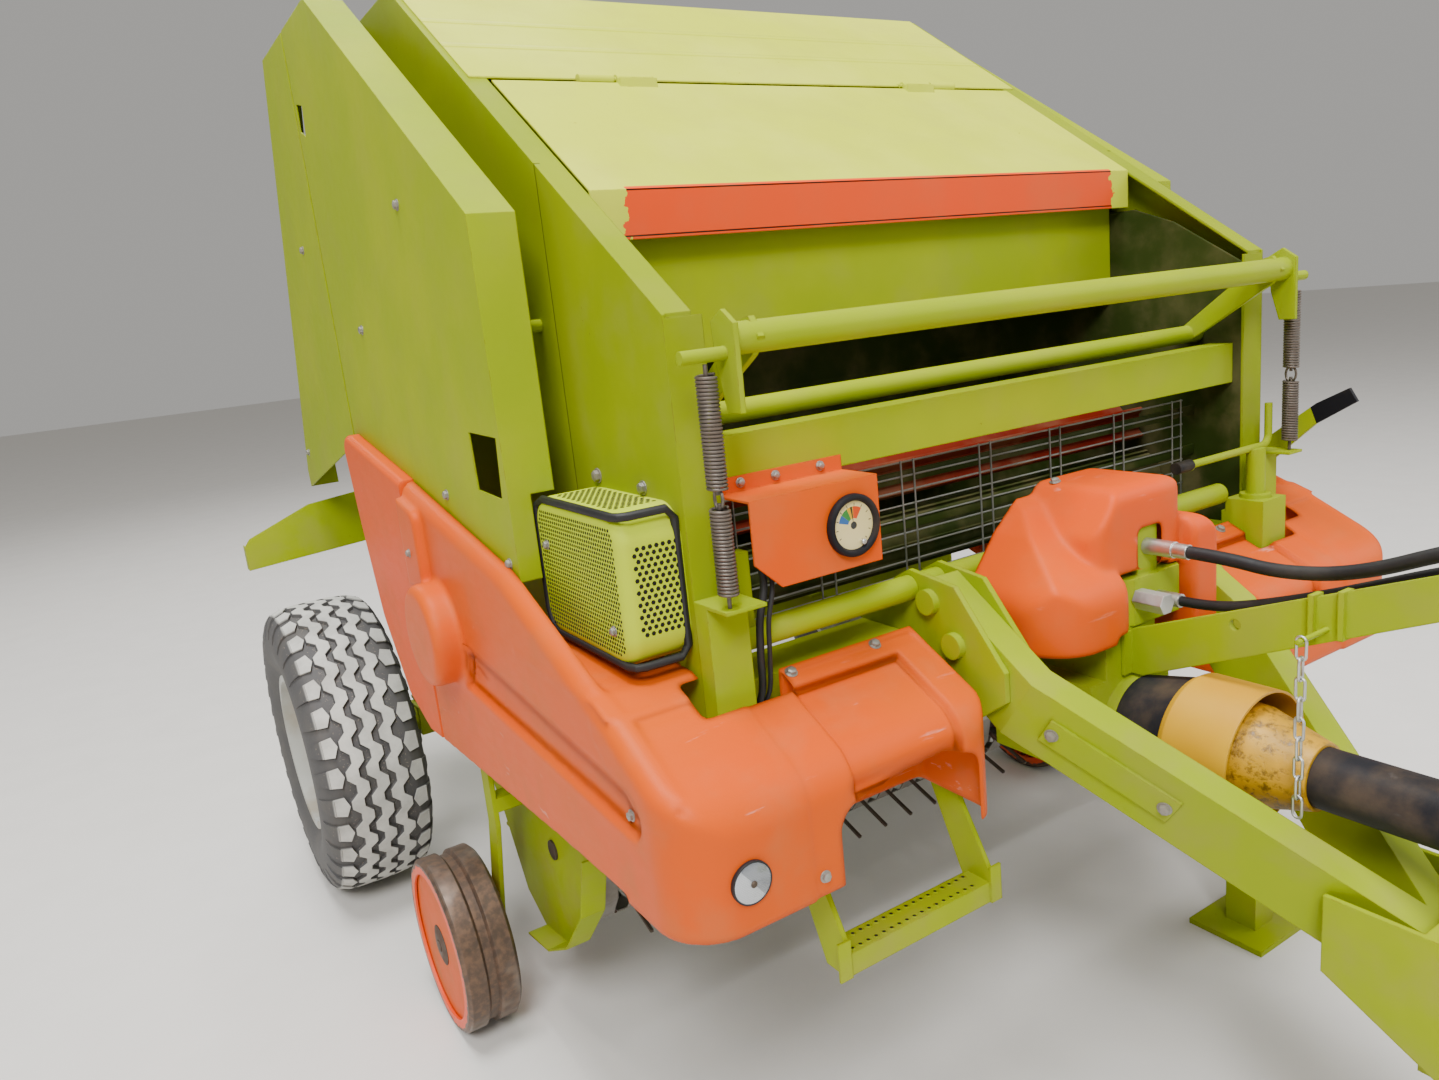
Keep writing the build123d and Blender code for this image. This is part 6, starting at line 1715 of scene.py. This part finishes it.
@dataclass
class Wires:
    """Lamp wires that come down behind the gauge bracket into the cover's cut-out."""

    routes: tuple[tuple[float, tuple[tuple[float, float, float], ...]], ...] = (
        (0.0055, ((-0.566, -0.020, 1.060), (-0.568, -0.028, 1.020), (-0.581, -0.030, 0.975), (-0.584, -0.028, 0.924),
                  (-0.576, -0.012, 0.869), (-0.574, 0.006, 0.835), (-0.578, 0.020, 0.795))),
        (0.0035, ((-0.556, -0.020, 1.060), (-0.558, -0.034, 1.020), (-0.572, -0.038, 0.972), (-0.573, -0.034, 0.920),
                  (-0.566, -0.016, 0.866), (-0.565, 0.006, 0.832), (-0.568, 0.020, 0.795))),
    )

    def build(self, wardrobe: Wardrobe) -> None:
        """Draws the wires along their routes."""
        mesh = bmesh.new()
        for radius, route in self.routes:
            points = [Vector((x, back(ym), z)) for x, ym, z in route]
            line = []
            for index in range(len(points) - 1):
                before = points[max(0, index - 1)]
                start, end = points[index], points[index + 1]
                after = points[min(len(points) - 1, index + 2)]
                for step in range(6):
                    share = step / 6
                    line.append(0.5 * (2 * start + (end - before) * share
                                       + (2 * before - 5 * start + 4 * end - after) * share ** 2
                                       + (3 * start - before - 3 * end + after) * share ** 3))
            line.append(points[-1])
            tube(mesh, line, radius, False, 10)
        wardrobe.settle("lamp_wires", mesh, Finish.TRIM, smooth_below=1.2)


@dataclass
class Fasteners:
    """Bolts of walls, guards, covers and fittings, each seated on the node that carries it."""

    table: tuple[tuple[str, str, str, tuple[float, float, float], tuple[float, float, float], float], ...] = (
        # set, carrier, body, start of the line, direction, head radius
        ("guard", "front_guards", "frame", (-1.2, 0.612, 1.618), (1, 0, 0), 0.0085),
        ("guard", "front_guards", "frame", (-1.2, 0.997, 1.426), (1, 0, 0), 0.0085),
        ("guard", "front_guards", "frame", (-1.2, 0.600, 1.128), (1, 0, 0), 0.0085),
        ("guard", "front_guards", "frame", (-1.2, 0.326, 1.046), (1, 0, 0), 0.0085),
        ("guard", "front_guards", "frame", (1.2, 0.612, 1.618), (-1, 0, 0), 0.0085),
        ("guard", "front_guards", "frame", (1.2, 0.997, 1.426), (-1, 0, 0), 0.0085),
        ("guard", "front_guards", "frame", (1.2, 0.600, 1.128), (-1, 0, 0), 0.0085),
        ("guard", "front_guards", "frame", (1.2, 0.326, 1.046), (-1, 0, 0), 0.0085),
        ("gate", "rear_guards", "tailgate", (-1.2, 1.835, 1.122), (1, 0, 0), 0.0085),
        ("gate", "rear_guards", "tailgate", (-1.2, 1.420, 1.622), (1, 0, 0), 0.0085),
        ("gate", "rear_guards", "tailgate", (1.2, 1.835, 1.122), (-1, 0, 0), 0.0085),
        ("gate", "rear_guards", "tailgate", (1.2, 1.420, 1.622), (-1, 0, 0), 0.0085),
        ("wall", "side_walls", "frame", (-0.9, 0.255, 1.168), (1, 0, 0), 0.0105),
        ("wall", "side_walls", "frame", (-0.9, 0.109, 1.163), (1, 0, 0), 0.0095),
        ("wall", "side_walls", "frame", (0.9, 0.255, 1.168), (-1, 0, 0), 0.0105),
        ("wall", "side_walls", "frame", (0.9, 0.109, 1.163), (-1, 0, 0), 0.0095),
        ("cover", "cover_right", "frame", (-0.62, -0.5, 0.667), (0, 1, 0), 0.0075),
        ("cover", "cover_right", "frame", (-1.2, -0.050, 0.774), (1, 0, 0), 0.0075),
        ("cover", "cover_right", "frame", (-1.2, 0.745, 1.010), (1, 0, 0), 0.0075),
        ("cover", "cover_left", "frame", (0.62, -0.5, 0.667), (0, 1, 0), 0.0075),
        ("cover", "cover_left", "frame", (1.2, -0.050, 0.774), (-1, 0, 0), 0.0075),
        ("cover", "cover_left", "frame", (1.2, 0.745, 1.010), (-1, 0, 0), 0.0075),
        ("arm", "cover_right", "frame", (-0.540, -0.034, 1.3), (0, 0, -1), 0.0085),
        ("arm", "cover_right", "frame", (-0.385, -0.034, 1.3), (0, 0, -1), 0.0085),
        ("arm", "cover_left", "frame", (0.480, -0.034, 1.3), (0, 0, -1), 0.0085),
        ("bracket", "gauge_bracket", "frame", (-0.560, -0.2, 1.160), (0, 1, 0), 0.0065),
        ("bracket", "gauge_bracket", "frame", (-0.500, -0.2, 1.160), (0, 1, 0), 0.0065),
        ("bracket", "gauge_bracket", "frame", (-0.420, -0.2, 1.160), (0, 1, 0), 0.0065),
        ("box", "side_box", "frame", (-1.2, 0.060, 0.985), (1, 0, 0), 0.0070),
        ("box", "side_box", "frame", (-1.2, 0.262, 1.078), (1, 0, 0), 0.0070),
        ("dome", "drive_covers", "frame", (-0.010, -0.060, 1.3), (0, 0, -1), 0.0080),
        ("strip", "drawbar_bars", "frame", (-1.2, -0.2443, 0.7636), (1, 0, 0), 0.0090),
        ("strip", "drawbar_bars", "frame", (-1.2, -0.3736, 0.6745), (1, 0, 0), 0.0090),
    )

    def build(self, nodes: dict[str, bpy.types.Object], wardrobe: Wardrobe) -> None:
        """Plants every row of the table, one piece for each set, body and size."""
        groups: dict[tuple[str, str, float], list[tuple[Vector, Vector]]] = {}
        for group, carrier, body, start, way, head in self.table:
            groups.setdefault((group, body, head), []).append(on_surface(nodes, carrier, start, way))
        for (group, body, head), places in groups.items():
            name = f"{group}_bolts_{int(head * 10000)}"
            Bolt(head * 0.85, head * 0.6, head * 1.15, 0.0016).plant(name, places, Finish.BOLT, body, wardrobe)


@dataclass
class Studio:
    """Camera at the picture's place, pale floor and soft lights."""

    place: tuple[float, float, float] = (-1.317, -1.173, 1.405)
    yaw: float = 30.92
    pitch: float = 12.91
    roll: float = -6.02
    focal_px: float = 1027.06

    def camera(self) -> None:
        """Sets the camera."""
        data = bpy.data.cameras.new("view")
        data.sensor_fit = "HORIZONTAL"
        data.sensor_width = 36.0
        data.lens = self.focal_px * 36.0 / IMAGE_WIDTH
        data.clip_start = 0.05
        data.clip_end = 200.0
        data.dof.use_dof = False
        camera = bpy.data.objects.new("view", data)
        bpy.context.collection.objects.link(camera)
        yaw, pitch, roll = (math.radians(angle) for angle in (self.yaw, self.pitch, self.roll))
        forward = Vector((math.sin(yaw) * math.cos(pitch), math.cos(yaw) * math.cos(pitch), -math.sin(pitch)))
        right = Vector((math.cos(yaw), -math.sin(yaw), 0.0))
        up = right.cross(forward)
        right_rolled = math.cos(roll) * right + math.sin(roll) * up
        up_rolled = -math.sin(roll) * right + math.cos(roll) * up
        turn = Matrix((right_rolled, up_rolled, -forward)).transposed().to_4x4()
        x, ym, z = self.place
        camera.matrix_world = Matrix.Translation((x, back(ym), z)) @ turn
        bpy.context.scene.camera = camera

    def floor(self) -> None:
        """Lays the pale floor."""
        sheet = NodeSheet("pale_floor")
        material = sheet.finish(sheet.blend(sheet.noise(6.0, 3.0), rgb(214, 211, 206), rgb(224, 221, 216)), 0.9)
        mesh = bpy.data.meshes.new("floor")
        mesh.from_pydata([(-30, -30, 0), (30, -30, 0), (30, 30, 0), (-30, 30, 0)], [], [(0, 1, 2, 3)])
        mesh.materials.append(material)
        floor = bpy.data.objects.new("floor", mesh)
        bpy.context.collection.objects.link(floor)

    def lights(self) -> None:
        """Hangs a large key light, a fill and a pale sky."""
        for name, place, size, power in (
            ("key", (-4.0, -5.0, 6.5), 2.6, 680.0),
            ("sun", (-1.2, -0.6, 7.5), 2.5, 620.0),
            ("fill", (5.5, -4.0, 4.0), 5.0, 200.0),
            ("back", (0.5, 6.0, 6.0), 5.0, 260.0),
        ):
            data = bpy.data.lights.new(name, "AREA")
            data.size = size
            data.energy = power
            lamp = bpy.data.objects.new(name, data)
            lamp.location = place
            aim = Vector((0.0, 0.0, 0.9)) - Vector(place)
            lamp.rotation_euler = aim.to_track_quat("-Z", "Y").to_euler()
            bpy.context.collection.objects.link(lamp)
        world = bpy.data.worlds.new("sky")
        world.use_nodes = True
        world.node_tree.nodes["Background"].inputs[0].default_value = (1.0, 0.98, 0.94, 1.0)
        world.node_tree.nodes["Background"].inputs[1].default_value = 0.4
        bpy.context.scene.world = world

    def build(self) -> None:
        """Sets up camera, floor and lights."""
        self.camera()
        self.floor()
        self.lights()


def dress_nodes(wardrobe: Wardrobe, nodes: dict[str, bpy.types.Object]) -> None:
    """Gives each CAD node its finish."""
    for name, node in nodes.items():
        wardrobe.dress(node, NODE_FINISH[name])


def main() -> None:
    """Builds the scene."""
    logging.basicConfig(level=logging.INFO)
    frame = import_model()
    Studio().build()
    wardrobe = Wardrobe()
    dress_nodes(wardrobe, frame["nodes"])
    Hoses().build(wardrobe)
    for side in (1, -1):
        RoadTyre(side).build(wardrobe)
    DensitySprings().build(wardrobe)
    nodes = frame["nodes"]
    SoftShell("drive_covers", Finish.SHELL, passes=60).build(nodes, wardrobe)
    seats = dict(nodes)
    for cover in ("cover_right", "cover_left"):
        seats[cover] = CoverShell(cover, Finish.COVER, passes=26, keep=0.22).build(nodes, wardrobe)
    PressureGauge().build(wardrobe)
    Reflectors().build(seats, wardrobe)
    PerforatedBox().build(wardrobe)
    WireGuard().build(wardrobe)
    SupportChain().build(wardrobe)
    WheelNuts().build(nodes, wardrobe)
    GaugeDiscs().build(wardrobe)
    Fasteners().build(seats, wardrobe)
    StepGrip().build(wardrobe)
    Wires().build(wardrobe)


if __name__ == "__main__":
    main()
